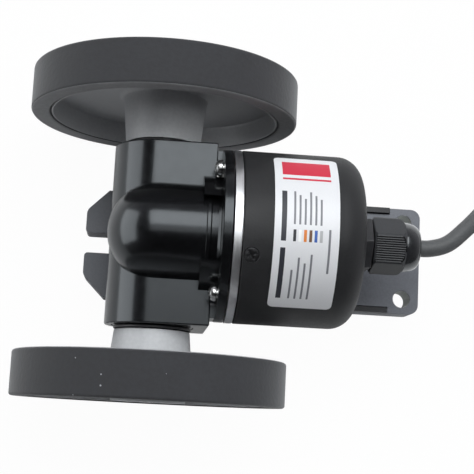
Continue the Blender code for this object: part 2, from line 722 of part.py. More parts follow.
# Aluminium encoder body between flange and cover
groove_start = BODY_RING_END + SEAL_GROOVE_PLACE - SEAL_GROOVE_WIDTH / 2
groove_end = groove_start + SEAL_GROOVE_WIDTH
groove_floor = COVER_BORE - 2 * SEAL_RING_RADIUS - 2 * BORE_SLACK
shaft_way = AXLE_RADIUS + 2 * FIT
body_profile = [
    (REGISTER_START, shaft_way),
    (REGISTER_START, AXLE_BEARING[1] - FIT),
    (BODY_START, AXLE_BEARING[1] - FIT),
    (BODY_START, BODY_RADIUS),
    (BODY_RING_END, BODY_RADIUS),
    (BODY_RING_END, SPIGOT_RADIUS),
    (groove_start, SPIGOT_RADIUS),
    (groove_start, groove_floor),
    (groove_end, groove_floor),
    (groove_end, SPIGOT_RADIUS),
    (SPIGOT_END, SPIGOT_RADIUS),
    (SPIGOT_END, BODY_CAVITY_RADIUS),
    (BODY_FLOOR_END, BODY_CAVITY_RADIUS),
    (BODY_FLOOR_END, shaft_way),
]
body = turned(body_profile, "X")
for number, angle in enumerate(FLANGE_SCREW_ANGLES, 1):
    spot = on_circle(FLANGE_SCREW_CIRCLE, angle)
    head_face = COLLAR_END - FIT
    fixing = screw(FLANGE_SCREW, FLANGE_SCREW_LENGTH, head_face, "X", spot)
    named(fixing, f"flange_screw_{number}", BRIGHT_STEEL, encoder_axis)
    tap_end = head_face + FLANGE_SCREW_LENGTH + FIT
    cut(body, rod(FLANGE_SCREW[0] + SCREW_SLACK, BODY_START - FIT, tap_end, "X", spot, SECTIONS_SCREW))

# Black cover, its radial countersunk screws, its seal ring and the bare label plate
def quarter(centre_x, centre_r, radius, steps):
    """A quarter fillet from the outside round to the end face."""
    angles = [math.pi / 2 * number / steps for number in range(steps + 1)]
    return [(centre_x + radius * math.sin(a), centre_r + radius * math.cos(a)) for a in angles]


inner_end = COVER_END - COVER_END_WALL
inner_fillet = COVER_FILLET - COVER_WALL
cover_profile = [(COVER_START, COVER_BORE), (COVER_START, COVER_RADIUS)]
cover_profile += quarter(COVER_END - COVER_FILLET, COVER_RADIUS - COVER_FILLET, COVER_FILLET, FILLET_STEPS)
cover_profile += [(COVER_END, GLAND_THREAD_RADIUS + FIT), (inner_end, GLAND_THREAD_RADIUS + FIT)]
inner_corner = quarter(inner_end - inner_fillet, COVER_BORE - inner_fillet, inner_fillet, INNER_FILLET_STEPS)
cover_profile += reversed(inner_corner)
cover = turned(cover_profile, "X", sections=SECTIONS_FINE)


def radial(angle, slack, top, bottom):
    """A countersunk screw's shape through the cover, grown all round by the slack."""
    shank, head, height = COVER_SCREW
    flare = (top - cover_crown) * (head - shank) / height
    profile = [
        (top, 0),
        (top, head + slack + flare),
        (cover_crown - height, shank + slack),
        (bottom, shank + slack),
        (bottom, 0),
    ]
    made = turned(profile, "Z", sections=SECTIONS_SCREW)
    place = Matrix.Translation((BODY_RING_END + COVER_SCREW_PLACE, 0, 0))
    made.data.transform(place @ Matrix.Rotation(-angle, 4, "X"))
    return made


cover_crown = COVER_RADIUS - BORE_SLACK
cover_tip = cover_crown - COVER_SCREW_LENGTH
for number in (1, 2, 3):
    angle = COVER_SCREW_ANGLE + (number - 1) * 2 * math.pi / 3
    named(radial(angle, 0, cover_crown, cover_tip), f"cover_screw_{number}", BRIGHT_STEEL, encoder_axis)
    cut(cover, radial(angle, SCREW_SLACK, COVER_RADIUS + FIT, cover_tip))
    cut(body, radial(angle, SCREW_SLACK, COVER_RADIUS + FIT, cover_tip - FIT))
named(body, "encoder_body", ALUMINIUM, encoder_axis)
named(cover, "cover", BLACK_SATIN, encoder_axis)
seal_middle = BODY_RING_END + SEAL_GROOVE_PLACE
seal_centre = COVER_BORE - SEAL_RING_RADIUS - BORE_SLACK
seal_profile = []
for number in range(SEAL_SIDES):
    angle = 2 * math.pi * (number + 0.5) / SEAL_SIDES
    reach = SEAL_RING_RADIUS * math.cos(angle)
    seal_profile.append((seal_middle + reach, seal_centre + SEAL_RING_RADIUS * math.sin(angle)))
named(turned(seal_profile, "X"), "cover_seal", RUBBER_BLACK, encoder_axis)
label_low = COVER_RADIUS + BORE_SLACK
label_high = label_low + LABEL_THICKNESS
label_from = COVER_START + LABEL_START
label_to = label_from + LABEL_WIDTH
label_sweep = 2 * math.pi * LABEL_FACETS / SECTIONS_FINE
label_outline = [
    (label_from, label_low),
    (label_from, label_high),
    (label_to, label_high),
    (label_to, label_low),
]
label_turn = math.pi - label_sweep / 2
label_plate = turned(label_outline, "X", sections=LABEL_FACETS, start=label_turn, sweep=label_sweep)
named(label_plate, "label_plate", FOIL, encoder_axis)

# Circuit board snapped on a carrier of three posts, light source and detector on either side of the disc
board_end = BOARD_PLACE + BOARD_THICKNESS
board_face = board_end + FIT
board = ring(BOARD_BORE_RADIUS, BOARD_RADIUS, BOARD_PLACE, board_end, "X", sections=SECTIONS_BORE)
carrier_start = SPIGOT_END + FIT
carrier_bore = POST_CIRCLE - POST_RADIUS
carrier_end = carrier_start + CARRIER_THICKNESS
carrier_radius = POST_CIRCLE + POST_RADIUS
carrier = ring(carrier_bore, carrier_radius, carrier_start, carrier_end, "X", sections=SECTIONS_BORE)
for turn in range(3):
    spot = on_circle(POST_CIRCLE, math.pi * 2 / 3 * turn + math.pi / 6)
    post = [
        (carrier_start + FIT, 0),
        (carrier_start + FIT, POST_RADIUS - BORE_SLACK),
        (BOARD_PLACE - FIT, POST_RADIUS - BORE_SLACK),
        (BOARD_PLACE - FIT, PEG_RADIUS),
        (board_face + PEG_RISE, PEG_RADIUS),
        (board_face + PEG_RISE, 0),
    ]
    joined(carrier, turned(post, "X", spot, SECTIONS_SCREW, BORE_TURN))
    cut(board, rod(PEG_RADIUS + SCREW_SLACK, 0, 2 * board_end, "X", spot, SECTIONS_SCREW))
named(board, "circuit_board", BOARD_GREEN, encoder_axis)
named(carrier, "board_carrier", WHITE_NYLON, encoder_axis)
half_optic = OPTIC_WIDTH / 2
source_low = (BODY_FLOOR_END + FIT, -half_optic, OPTIC_LOW)
source_high = (DISC_PLACE - OPTIC_GAP, half_optic, OPTIC_HIGH)
named(box(source_low, source_high), "light_source", WHITE_NYLON, encoder_axis)
detector_low = (disc_end + OPTIC_GAP, -half_optic, OPTIC_LOW)
detector_high = (BOARD_PLACE - FIT, half_optic, OPTIC_HIGH)
named(box(detector_low, detector_high), "light_detector", BLACK_NYLON, encoder_axis)
header_low = (board_face, -HEADER_LENGTH / 2, -HEADER_RISE - HEADER_HEIGHT)
header_high = (board_face + HEADER_DEPTH, HEADER_LENGTH / 2, -HEADER_RISE)
named(box(header_low, header_high), "lead_header", WHITE_NYLON, encoder_axis)

# Cable gland: body through the cover's end, locknut inside, sealing bush and domed nut outside
tail_start = COVER_END - GLAND_TAIL
stem_end = GLAND_HEX_END + GLAND_STEM
gland_bar = ring(GLAND_BORE_RADIUS, GLAND_THREAD_RADIUS, tail_start, stem_end, "X", sections=SECTIONS_SMALL)
gland_hex = prism(hexagon(GLAND_HEX_FLATS), GLAND_HEX_WIDTH, "X", (GLAND_HEX_START, 0, 0))
gland_way = rod(GLAND_BORE_RADIUS, tail_start - FIT, stem_end + FIT, "X")
seal_pocket = rod(SEAL_RADIUS + BORE_SLACK, stem_end - SEAL_LENGTH / 2, stem_end + FIT, "X")
named(cut(joined(gland_bar, gland_hex), gland_way, seal_pocket), "gland_body", BLACK_NYLON, encoder_axis)
locknut_start = inner_end - FIT - LOCKNUT_WIDTH
locknut = prism(hexagon(GLAND_HEX_FLATS), LOCKNUT_WIDTH, "X", (locknut_start, 0, 0))
locknut_bore = rod(GLAND_THREAD_RADIUS + BORE_SLACK, locknut_start - FIT, inner_end, "X")
named(cut(locknut, locknut_bore), "gland_locknut", BLACK_NYLON, encoder_axis)
bush_start = stem_end - SEAL_LENGTH / 2 + FIT
bush_end = bush_start + SEAL_LENGTH
bush = ring(CABLE_RADIUS + BORE_SLACK, SEAL_RADIUS, bush_start, bush_end, "X", sections=SECTIONS_SMALL)
named(bush, "gland_bush", RUBBER_BLACK, encoder_axis)
nut = prism(hexagon(NUT_FLATS), NUT_WIDTH, "X", (NUT_START, 0, 0))
dome = [(NUT_END - FIT, 0), (NUT_END - FIT, NUT_DOME_RADIUS)]
for number in range(1, NUT_DOME_STEPS + 1):
    angle = math.pi / 2 * number / NUT_DOME_STEPS
    swell = (NUT_DOME_RADIUS - NUT_MOUTH_RADIUS) * math.cos(angle)
    dome.append((NUT_END + NUT_DOME_LENGTH * math.sin(angle), NUT_MOUTH_RADIUS + swell))
dome.append((DOME_END, 0))
joined(nut, turned(dome, "X", sections=SECTIONS_SMALL))
nut_hollow_end = max(stem_end, bush_end) + FIT
nut_hollow = [
    (NUT_START - FIT, 0),
    (NUT_START - FIT, GLAND_THREAD_RADIUS + BORE_SLACK),
    (nut_hollow_end, GLAND_THREAD_RADIUS + BORE_SLACK),
    (nut_hollow_end, CABLE_RADIUS + FIT),
    (DOME_END + FIT, CABLE_RADIUS + FIT),
    (DOME_END + FIT, 0),
]
cut(nut, turned(nut_hollow, "X", sections=SECTIONS_SMALL))
named(nut, "gland_nut", BLACK_NYLON, encoder_axis)
entry_start = tail_start - 2 * FIT
named(rod(CABLE_RADIUS, entry_start, DOME_END, "X"), "cable_entry", CABLE_GREY, encoder_axis)

# Bracket: a forked plate with two mounting holes, rebates for the cradle and screws from below
half_width = BRACKET_WIDTH / 2
ear_half = half_width - EAR_CHAMFER
outline = [(BRACKET_LEFT, -ear_half), (BRACKET_LEFT + EAR_CHAMFER, -half_width)]
for side, first in ((-1, -math.pi / 2), (1, 0.0)):
    corner_x = BRACKET_RIGHT - BRACKET_CORNER
    corner_y = side * (half_width - BRACKET_CORNER)
    for number in range(CORNER_STEPS + 1):
        angle = first + math.pi / 2 * number / CORNER_STEPS
        across = BRACKET_CORNER * math.sin(angle)
        outline.append((corner_x + BRACKET_CORNER * math.cos(angle), corner_y + across))
outline += [(BRACKET_LEFT + EAR_CHAMFER, half_width), (BRACKET_LEFT, ear_half)]
bracket = prism(outline, BRACKET_THICKNESS)
above = BRACKET_THICKNESS + FIT
slot_centre = BRACKET_LEFT + SLOT_LENGTH - SLOT_WIDTH / 2
slot_outline = [(BRACKET_LEFT - FIT, -SLOT_WIDTH / 2)]
for number in range(SLOT_STEPS + 1):
    angle = math.pi * (number / SLOT_STEPS - 0.5)
    across = SLOT_WIDTH / 2 * math.sin(angle)
    slot_outline.append((slot_centre + SLOT_WIDTH / 2 * math.cos(angle), across))
slot_outline.append((BRACKET_LEFT - FIT, SLOT_WIDTH / 2))
cut(bracket, prism(slot_outline, above + FIT, "Z", (0, 0, -FIT)))
mount_x = BRACKET_RIGHT - MOUNT_HOLE_INSET
for side in (1, -1):
    cut(bracket, rod(MOUNT_HOLE_RADIUS, -FIT, above, "Z", (mount_x, side * MOUNT_HOLE_SPACING / 2, 0)))
rail_inner = half_width - RAIL_WIDTH
rail_floor = BRACKET_THICKNESS - RAIL_DEPTH
rail_from = AXLE_X + RAIL_START
rail_to = rail_from + RAIL_LENGTH
web_from = AXLE_X + WEB_START
web_to = web_from + WEB_LENGTH
for side in (1, -1):
    inner, outer = side * rail_inner, side * (half_width + FIT)
    low = (rail_from - FIT, min(inner, outer), rail_floor)
    cut(bracket, box(low, (rail_to + FIT, max(inner, outer), above)))
cut(bracket, box((web_from - FIT, -half_width - FIT, rail_floor), (web_to + FIT, half_width + FIT, above)))
for x, y in BASE_SCREW_PLACES:
    well = [
        (-FIT, 0),
        (-FIT, BASE_SCREW[1] + FIT),
        (BASE_SCREW_DEPTH, BASE_SCREW[1] + FIT),
        (BASE_SCREW_DEPTH, BASE_SCREW[0] + SCREW_SLACK),
        (above, BASE_SCREW[0] + SCREW_SLACK),
        (above, 0),
    ]
    cut(bracket, turned(well, "Z", (AXLE_X + x, y, 0), SECTIONS_SCREW))
named(bracket, "bracket", GREY_CAST)

# Cradle: two rails in the bracket's rebates and a web under the cover
rail_low = rail_floor + FIT
rail_gap = math.sqrt(COVER_RADIUS**2 - (rail_inner + FIT) ** 2)
rail_top = ENCODER_HEIGHT - rail_gap - FIT
web_top = ENCODER_HEIGHT - COVER_RADIUS - FIT
tail_top = BRACKET_THICKNESS + RAIL_TAIL_RISE
web_side = rail_inner + RAIL_WIDTH / 2
cradle = box((web_from, -web_side, rail_low + FIT), (web_to, web_side, web_top))
rail_step = rail_to - RAIL_TAIL
rail_outline = [
    (rail_from, rail_low),
    (rail_to, rail_low),
    (rail_to, tail_top),
    (rail_step, tail_top),
    (rail_step, rail_top),
    (rail_from, rail_top),
]
rail_thickness = RAIL_WIDTH - FIT
for far_side in (half_width, -rail_inner - FIT):
    rail = prism(rail_outline, rail_thickness)
    rail.data.transform(Matrix.Translation((0, far_side, 0)) @ Matrix.Rotation(math.pi / 2, 4, "X"))
    joined(cradle, rail)
named(cradle, "cradle", BLACK_SATIN)
base_head = BASE_SCREW_DEPTH - FIT
base_length = BRACKET_THICKNESS + FIT + BASE_SCREW_ENTRY - base_head
for number, (x, y) in enumerate(BASE_SCREW_PLACES, 1):
    fixing = screw(BASE_SCREW, base_length, base_head, "Z", (AXLE_X + x, y, 0))
    named(fixing, f"base_screw_{number}", BRIGHT_STEEL)


# Tubes: the free cable, its coil and the thin leads
def smooth_points(route, spacing):
    """Evenly spaced points on a smooth curve through the route's own points."""
    ends = [2 * route[0] - route[1]] + route + [2 * route[-1] - route[-2]]
    dense = []
    for before, start, end, after in zip(ends, ends[1:], ends[2:], ends[3:]):
        for number in range(CURVE_STEPS):
            t = number / CURVE_STEPS
            dense.append(
                0.5 * (
                    2 * start
                    + (end - before) * t
                    + (2 * before - 5 * start + 4 * end - after) * t**2
                    + (3 * start - before - 3 * end + after) * t**3
                )
            )
    dense.append(route[-1])
    total = length_of(dense)
    count = max(2, round(total / spacing))
    points = [dense[0]]
    walked = 0.0
    for start, end in zip(dense, dense[1:]):
        piece = (end - start).length
        while walked + piece >= total * len(points) / count and len(points) < count:
            share = (total * len(points) / count - walked) / piece
            points.append(start + (end - start) * share)
        walked += piece
    points.append(dense[-1])
    return points


def length_of(points):
    return sum((end - start).length for start, end in zip(points, points[1:]))


def tube(points, radius, resolution):
    """A round tube with closed ends along points."""
    curve = bpy.data.curves.new("scratch", "CURVE")
    curve.dimensions = "3D"
    curve.bevel_depth = radius
    curve.bevel_resolution = resolution
    curve.use_fill_caps = True
    line = curve.splines.new("POLY")
    line.points.add(len(points) - 1)
    for spot, point in zip(line.points, points):
        spot.co = (*point, 1.0)
    made = bpy.data.objects.new("scratch", curve)
    bpy.context.scene.collection.objects.link(made)
    graph = bpy.context.evaluated_depsgraph_get()
    graph.update()
    shape = bmesh.new()
    shape.from_mesh(bpy.data.meshes.new_from_object(made.evaluated_get(graph)))
    bpy.data.objects.remove(made, do_unlink=True)
    return object_of(shape)


# Stored coil: four layers that spiral in and out, laid from the top layer down
coil_centre = Vector((COIL_CENTRE_X, COIL_CENTRE_Y, 0))
coil_outer = COIL_INNER_RADIUS + COIL_TURNS * COIL_PITCH
coil_bottom = FLOOR + COIL_LIFT + CABLE_RADIUS
coil_top = coil_bottom + (COIL_LAYERS - 1) * COIL_STEP


def coil_point(turns):
    """The coil's centre line after so many turns, clockwise from its rear side."""
    layer_turns = COIL_TURNS + COIL_CLIMB_TURNS
    layer = min(COIL_LAYERS - 1, int(turns / layer_turns))
    within = turns - layer * layer_turns
    spiral = min(within, COIL_TURNS) * COIL_PITCH
    climb = max(0.0, within - COIL_TURNS) / COIL_CLIMB_TURNS
    eased = climb * climb * (3 - 2 * climb)
    radius = coil_outer - spiral if layer % 2 == 0 else COIL_INNER_RADIUS + spiral
    angle = math.pi / 2 - 2 * math.pi * turns
    height = coil_top - (layer + eased) * COIL_STEP
    return coil_centre + Vector((radius * math.cos(angle), radius * math.sin(angle), height))


coil_turns = COIL_LAYERS * COIL_TURNS + (COIL_LAYERS - 1) * COIL_CLIMB_TURNS
coil_count = round(coil_turns * COIL_POINTS)
loops = [coil_point(coil_turns * number / coil_count) for number in range(coil_count + 1)]
first_way = (loops[1] - loops[0]).normalized()
first_way.z = 0
last_way = (loops[-1] - loops[-2]).normalized()
last_way.z = 0
coil_start = loops[0] - first_way * CABLE_DIAMETER

# Free stretch from the gland to the coil
CABLE_ROUTE = [
    Vector((CABLE_EXIT + FIT, 0, ENCODER_HEIGHT)),
    Vector((0.0498, 0.0, ENCODER_HEIGHT)),
    Vector((0.0555, 0.0032, 0.0362)),
    Vector((0.0640, 0.0097, 0.0336)),
    Vector((0.0745, 0.0210, 0.0275)),
    Vector((0.0900, 0.0356, 0.0190)),
    Vector((0.1085, 0.0434, 0.0122)),
    coil_start - first_way * COIL_RUN_IN,
    coil_start - first_way * FIT,
]
free_points = [CABLE_ROUTE[0]] + smooth_points(CABLE_ROUTE[1:-1], 1.6 * CABLE_DIAMETER) + [CABLE_ROUTE[-1]]
laid = length_of(free_points) + length_of(loops) + CABLE_DIAMETER + (DOME_END - entry_start)
tail_length = CABLE_LENGTH - laid
coil_end = loops[-1] + last_way * tail_length
coil_points = [coil_start] + loops
tail_steps = max(1, round(tail_length / (3 * CABLE_DIAMETER)))
for step in range(1, tail_steps + 1):
    coil_points.append(loops[-1] + last_way * (tail_length * step / tail_steps))
skip = round(COIL_POINTS * 0.4)
least = 1.0
for number, point in enumerate(coil_points):
    for other in coil_points[number + skip:]:
        least = min(least, (other - point).length)
print("coil least gap mm", round((least - CABLE_DIAMETER) * 1000, 2))
print("free stretch mm", round(length_of(free_points) * 1000, 1))
print("coil and tail mm", round(length_of(coil_points) * 1000, 1))
named(tube(free_points, CABLE_RADIUS, 2), "cable", CABLE_GREY)
named(tube(coil_points, CABLE_RADIUS, 1), "cable_coil", CABLE_GREY)

# Tie round the coil on its far side
tie_inner = COIL_INNER_RADIUS - CABLE_RADIUS - TIE_SLACK
tie_outer = coil_outer + CABLE_RADIUS + TIE_SLACK
tie_low = coil_bottom - CABLE_RADIUS - TIE_SLACK
tie_high = coil_top + CABLE_RADIUS + TIE_SLACK
tie = box(
    (COIL_CENTRE_X + tie_inner - TIE_THICKNESS, COIL_CENTRE_Y - TIE_WIDTH / 2, tie_low - TIE_THICKNESS),
    (COIL_CENTRE_X + tie_outer + TIE_THICKNESS, COIL_CENTRE_Y + TIE_WIDTH / 2, tie_high + TIE_THICKNESS),
)
tie_hole = box(
    (COIL_CENTRE_X + tie_inner, COIL_CENTRE_Y - TIE_WIDTH, tie_low),
    (COIL_CENTRE_X + tie_outer, COIL_CENTRE_Y + TIE_WIDTH, tie_high),
)
named(cut(tie, tie_hole), "coil_tie", BLACK_NYLON)


# Leads: stripped ends beyond the cable and the same cores between the gland and the board
def lead_fan(root, way, spread, length):
    """Thin leads that open out from a shrunk sleeve."""
    side = Vector((-way.y, way.x, 0))
    up = Vector((0, 0, 1))
    made = tube([root, root + way * SLEEVE_LENGTH], CABLE_RADIUS, 2)
    for number in range(LEAD_COUNT):
        angle = 2 * math.pi * (number + LEAD_TURN) / LEAD_COUNT
        out = side * math.cos(angle) + up * math.sin(angle)
        near = root + way * SLEEVE_LENGTH / 2 + out * LEAD_CIRCLE
        far = root + way * length + out * spread
        route = [near, near + way * SLEEVE_LENGTH, near.lerp(far, LEAD_BEND), far]
        joined(made, tube(smooth_points(route, length / 4), LEAD_RADIUS, 0))
    return made


leads = lead_fan(coil_end + last_way * FIT, last_way, LEAD_SPREAD, LEAD_LENGTH)
named(leads, "stripped_leads", LEAD_COPPER)
header_face = board_face + HEADER_DEPTH + FIT
core_length = entry_start - FIT - header_face
cores = lead_fan(Vector((entry_start - FIT, 0, 0)), Vector((-1, 0, 0)), LEAD_SPREAD, core_length)
named(cores, "inner_leads", LEAD_COPPER, encoder_axis)
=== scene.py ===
# Wheel-type rotary encoder: two measuring wheels turn a sealed encoder through crossed gears.
# Metres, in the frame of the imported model: +X along the encoder to its cable, +Y along the wheel axle.
import math

import bpy
from mathutils import Matrix, Vector


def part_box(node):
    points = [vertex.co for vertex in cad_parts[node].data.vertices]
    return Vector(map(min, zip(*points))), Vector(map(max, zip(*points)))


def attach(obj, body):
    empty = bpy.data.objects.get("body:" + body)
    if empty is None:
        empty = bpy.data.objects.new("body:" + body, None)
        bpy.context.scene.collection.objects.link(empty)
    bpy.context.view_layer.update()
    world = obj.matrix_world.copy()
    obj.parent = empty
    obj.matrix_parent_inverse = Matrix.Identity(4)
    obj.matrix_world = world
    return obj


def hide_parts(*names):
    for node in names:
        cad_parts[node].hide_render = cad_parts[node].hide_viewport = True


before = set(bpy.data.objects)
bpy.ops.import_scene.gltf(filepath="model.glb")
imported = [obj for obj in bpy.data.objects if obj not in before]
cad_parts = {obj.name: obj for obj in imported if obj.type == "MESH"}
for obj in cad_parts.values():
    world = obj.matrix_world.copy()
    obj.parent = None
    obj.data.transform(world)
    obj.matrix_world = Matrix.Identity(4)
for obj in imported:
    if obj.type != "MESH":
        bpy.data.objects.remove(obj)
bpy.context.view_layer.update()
scene = bpy.context.scene
scene.view_settings.view_transform = "Standard"

# Camera: it looks down on the object from nearly overhead, a little from its front and turned slightly,
# at about a third of a metre, with the frame of a square picture.
PICTURE_SIDE = 474
FOCAL_PIXELS = 1134.47
SENSOR = 36.0
eye = Vector((-0.03193, -0.05326, 0.36081))
lean = Vector((0.16056, -0.07888, 0.05572))
lens = bpy.data.cameras.new("picture_camera")
lens.sensor_fit = "HORIZONTAL"
lens.sensor_width = SENSOR
lens.lens = FOCAL_PIXELS / PICTURE_SIDE * SENSOR
lens.clip_start = 0.01
camera = bpy.data.objects.new("picture_camera", lens)
camera.matrix_world = Matrix.Translation(eye) @ Matrix.Rotation(lean.length, 4, lean)
scene.collection.objects.link(camera)
scene.camera = camera

# Floor and light: a white table under the wheels, a softbox above and behind, one on the left that shows
# only in gloss, a fill that shows only on matte faces, and a room that is dim overhead and in front.
TABLE_HEIGHT = -0.0130
TABLE_SIDE = 6.0
TABLE_GLOW = 0.97
TABLE_MIRRORED = 0.18


def node_step(tree, kind, inputs=None, **settings):
    """Adds one node with its settings, and links or sets its inputs."""
    node = tree.nodes.new(kind)
    for key, value in settings.items():
        setattr(node, key, value)
    for key, value in (inputs or {}).items():
        if isinstance(value, bpy.types.NodeSocket):
            tree.links.new(value, node.inputs[key])
        else:
            node.inputs[key].default_value = value
    return node


def reckoned(tree, operation, *values):
    """Adds a math node on some values or sockets, and gives its result."""
    return node_step(tree, "ShaderNodeMath", dict(enumerate(values)), operation=operation).outputs[0]


def noise(tree, place, scale, detail):
    """Adds a noise pattern, and gives its height."""
    pattern = {"Vector": place, "Scale": scale, "Detail": detail}
    return node_step(tree, "ShaderNodeTexNoise", pattern).outputs[0]


def ranged(tree, value, start, end, low=0.0, high=1.0):
    """Adds a node that brings a value from one range to another, and gives its result."""
    limits = {"Value": value, "From Min": start, "From Max": end, "To Min": low, "To Max": high}
    return node_step(tree, "ShaderNodeMapRange", limits).outputs[0]


def clear_selection():
    """Leaves edit mode and deselects every object."""
    if bpy.context.object and bpy.context.object.mode != "OBJECT":
        bpy.ops.object.mode_set(mode="OBJECT")
    bpy.ops.object.select_all(action="DESELECT")


clear_selection()
bpy.ops.mesh.primitive_plane_add(size=TABLE_SIDE, location=(0, 0, TABLE_HEIGHT))
table = bpy.context.object
table.name = "table_top"
table_white = bpy.data.materials.new("table_white")
table_white.use_nodes = True
tree = table_white.node_tree
tree.nodes.clear()
place = node_step(tree, "ShaderNodeTexCoord").outputs["Object"]
paper_tone = ranged(tree, noise(tree, place, 40.0, 3.0), 0.0, 1.0, low=0.86, high=0.90)
matte = node_step(tree, "ShaderNodeBsdfDiffuse", {"Color": paper_tone})
bright = node_step(tree, "ShaderNodeEmission", {"Color": (1, 1, 1, 1), "Strength": 1.0})
ray = node_step(tree, "ShaderNodeLightPath")
mirrored = reckoned(tree, "MULTIPLY", ray.outputs["Is Glossy Ray"], TABLE_MIRRORED)
seen = reckoned(tree, "MAXIMUM", ray.outputs["Is Camera Ray"], mirrored)
seen = reckoned(tree, "MAXIMUM", seen, ray.outputs["Is Transmission Ray"])
share = reckoned(tree, "MULTIPLY", seen, TABLE_GLOW)
mixed = node_step(tree, "ShaderNodeMixShader", {0: share, 1: matte.outputs[0], 2: bright.outputs[0]})
node_step(tree, "ShaderNodeOutputMaterial", {"Surface": mixed.outputs[0]})
table.data.materials.append(table_white)

room = bpy.data.worlds.new("room")
room.use_nodes = True
scene.world = room
tree = room.node_tree
tree.nodes.clear()
outlook = node_step(tree, "ShaderNodeTexCoord").outputs["Generated"]
outlook_parts = node_step(tree, "ShaderNodeSeparateXYZ", {"Vector": outlook})
sky = node_step(tree, "ShaderNodeValToRGB", {"Fac": outlook_parts.outputs["Z"]})
sky.color_ramp.elements[0].position = 0.05
sky.color_ramp.elements[0].color = (0.55, 0.55, 0.57, 1)
sky.color_ramp.elements[1].position = 0.85
sky.color_ramp.elements[1].color = (0.035, 0.035, 0.037, 1)
middle = sky.color_ramp.elements.new(0.40)
middle.color = (0.34, 0.34, 0.36, 1)
dimmed = ranged(tree, outlook_parts.outputs["Y"], -0.7, 0.3, low=0.15)
glow = node_step(tree, "ShaderNodeBackground", {"Color": sky.outputs["Color"], "Strength": dimmed})
node_step(tree, "ShaderNodeOutputWorld", {"Surface": glow.outputs[0]})
LIGHT_AIM = Vector((-0.02, 0, 0.04))


def softbox(name, way, across, distance, width, depth, radiance):
    """A rectangular light that looks at the object from a direction, its width along another."""
    back = Vector(way).normalized()
    side = (Vector(across) - back * back.dot(Vector(across))).normalized()
    turn = Matrix((side, back.cross(side), back)).transposed().to_4x4()
    lamp = bpy.data.lights.new(name, "AREA")
    lamp.shape = "RECTANGLE"
    lamp.size = width
    lamp.size_y = depth
    lamp.energy = radiance * math.pi * width * depth
    lamp.color = (0.95, 0.98, 1.0)
    box = bpy.data.objects.new(name, lamp)
    box.matrix_world = Matrix.Translation(LIGHT_AIM + back * distance) @ turn
    scene.collection.objects.link(box)
    return box


along_x, along_y = (1, 0, 0), (0, 1, 0)
softbox(
    "ceiling_softbox", (0.03, 0.488, 1.0), along_x, distance=0.75, width=0.60, depth=0.43, radiance=4.0
)
softbox(
    "ceiling_edge", (0.03, 0.052, 1.0), along_x, distance=0.75, width=0.60, depth=0.20, radiance=1.1
)
left = softbox(
    "left_softbox", (-1.0, 0.10, 0.30), along_y, distance=0.80, width=0.90, depth=0.66, radiance=2.5
)
left.visible_diffuse = False
fill = softbox(
    "overhead_fill", (0.45, 0.42, 1.0), along_x, distance=1.10, width=1.40, depth=1.20, radiance=1.50
)
fill.visible_glossy = False

# Cable: a round five-millimetre signal cable with an extruded grey jacket, clamped in the gland.
# It bends off to one side, and the rest of its two metres lies in a tied coil of four layers.
CABLE_DIAMETER = 0.0050
CABLE_HEIGHT = 0.0365
GLAND_MOUTH = 0.0458
COIL_CENTRE = Vector((0.1400, 0.0080, 0.0))
COIL_INNER = 0.0212
COIL_TURNS = 2.25
COIL_PITCH = 0.0064
COIL_STEP = 0.0062
COIL_LAYERS = 4
COIL_CLIMB = 0.5
COIL_POINTS = 20
COIL_TOP = 0.0098
COIL_OUTER = COIL_INNER + COIL_TURNS * COIL_PITCH
COIL_RUN_IN = 0.0080
TAIL_LENGTH = 0.0153
TAIL_POINTS = 5


def coil_point(turns):
    """The coil's centre line after so many turns, clockwise from its rear side, top layer first."""
    layer_turns = COIL_TURNS + COIL_CLIMB
    layer = min(COIL_LAYERS - 1, int(turns / layer_turns))
    within = turns - layer * layer_turns
    spiral = min(within, COIL_TURNS) * COIL_PITCH
    climb = max(0.0, within - COIL_TURNS) / COIL_CLIMB
    eased = climb * climb * (3 - 2 * climb)
    radius = COIL_OUTER - spiral if layer % 2 == 0 else COIL_INNER + spiral
    angle = math.pi / 2 - 2 * math.pi * turns
    drop = COIL_TOP - (layer + eased) * COIL_STEP
    return COIL_CENTRE + Vector((radius * math.cos(angle), radius * math.sin(angle), drop))


def smooth_line(route, steps):
    """A smooth curve through the route's points."""
    ends = [2 * route[0] - route[1]] + route + [2 * route[-1] - route[-2]]
    line = []
    for before, start, end, after in zip(ends, ends[1:], ends[2:], ends[3:]):
        for number in range(steps):
            t = number / steps
            line.append(
                0.5 * (
                    2 * start
                    + (end - before) * t
                    + (2 * before - 5 * start + 4 * end - after) * t**2
                    + (3 * start - before - 3 * end + after) * t**3
                )
            )
    line.append(route[-1])
    return line


def tube_along(name, line, diameter, roundness):
    """A curve of one open spline with round section and closed ends."""
    curve = bpy.data.curves.new(name, "CURVE")
    curve.dimensions = "3D"
    curve.bevel_depth = diameter / 2
    curve.bevel_resolution = roundness
    curve.use_fill_caps = True
    spline = curve.splines.new("POLY")
    spline.points.add(len(line) - 1)
    for spot, point in zip(spline.points, line):
        spot.co = (*point, 1.0)
    spline.use_smooth = True
    tube = bpy.data.objects.new(name, curve)
    scene.collection.objects.link(tube)
    return tube


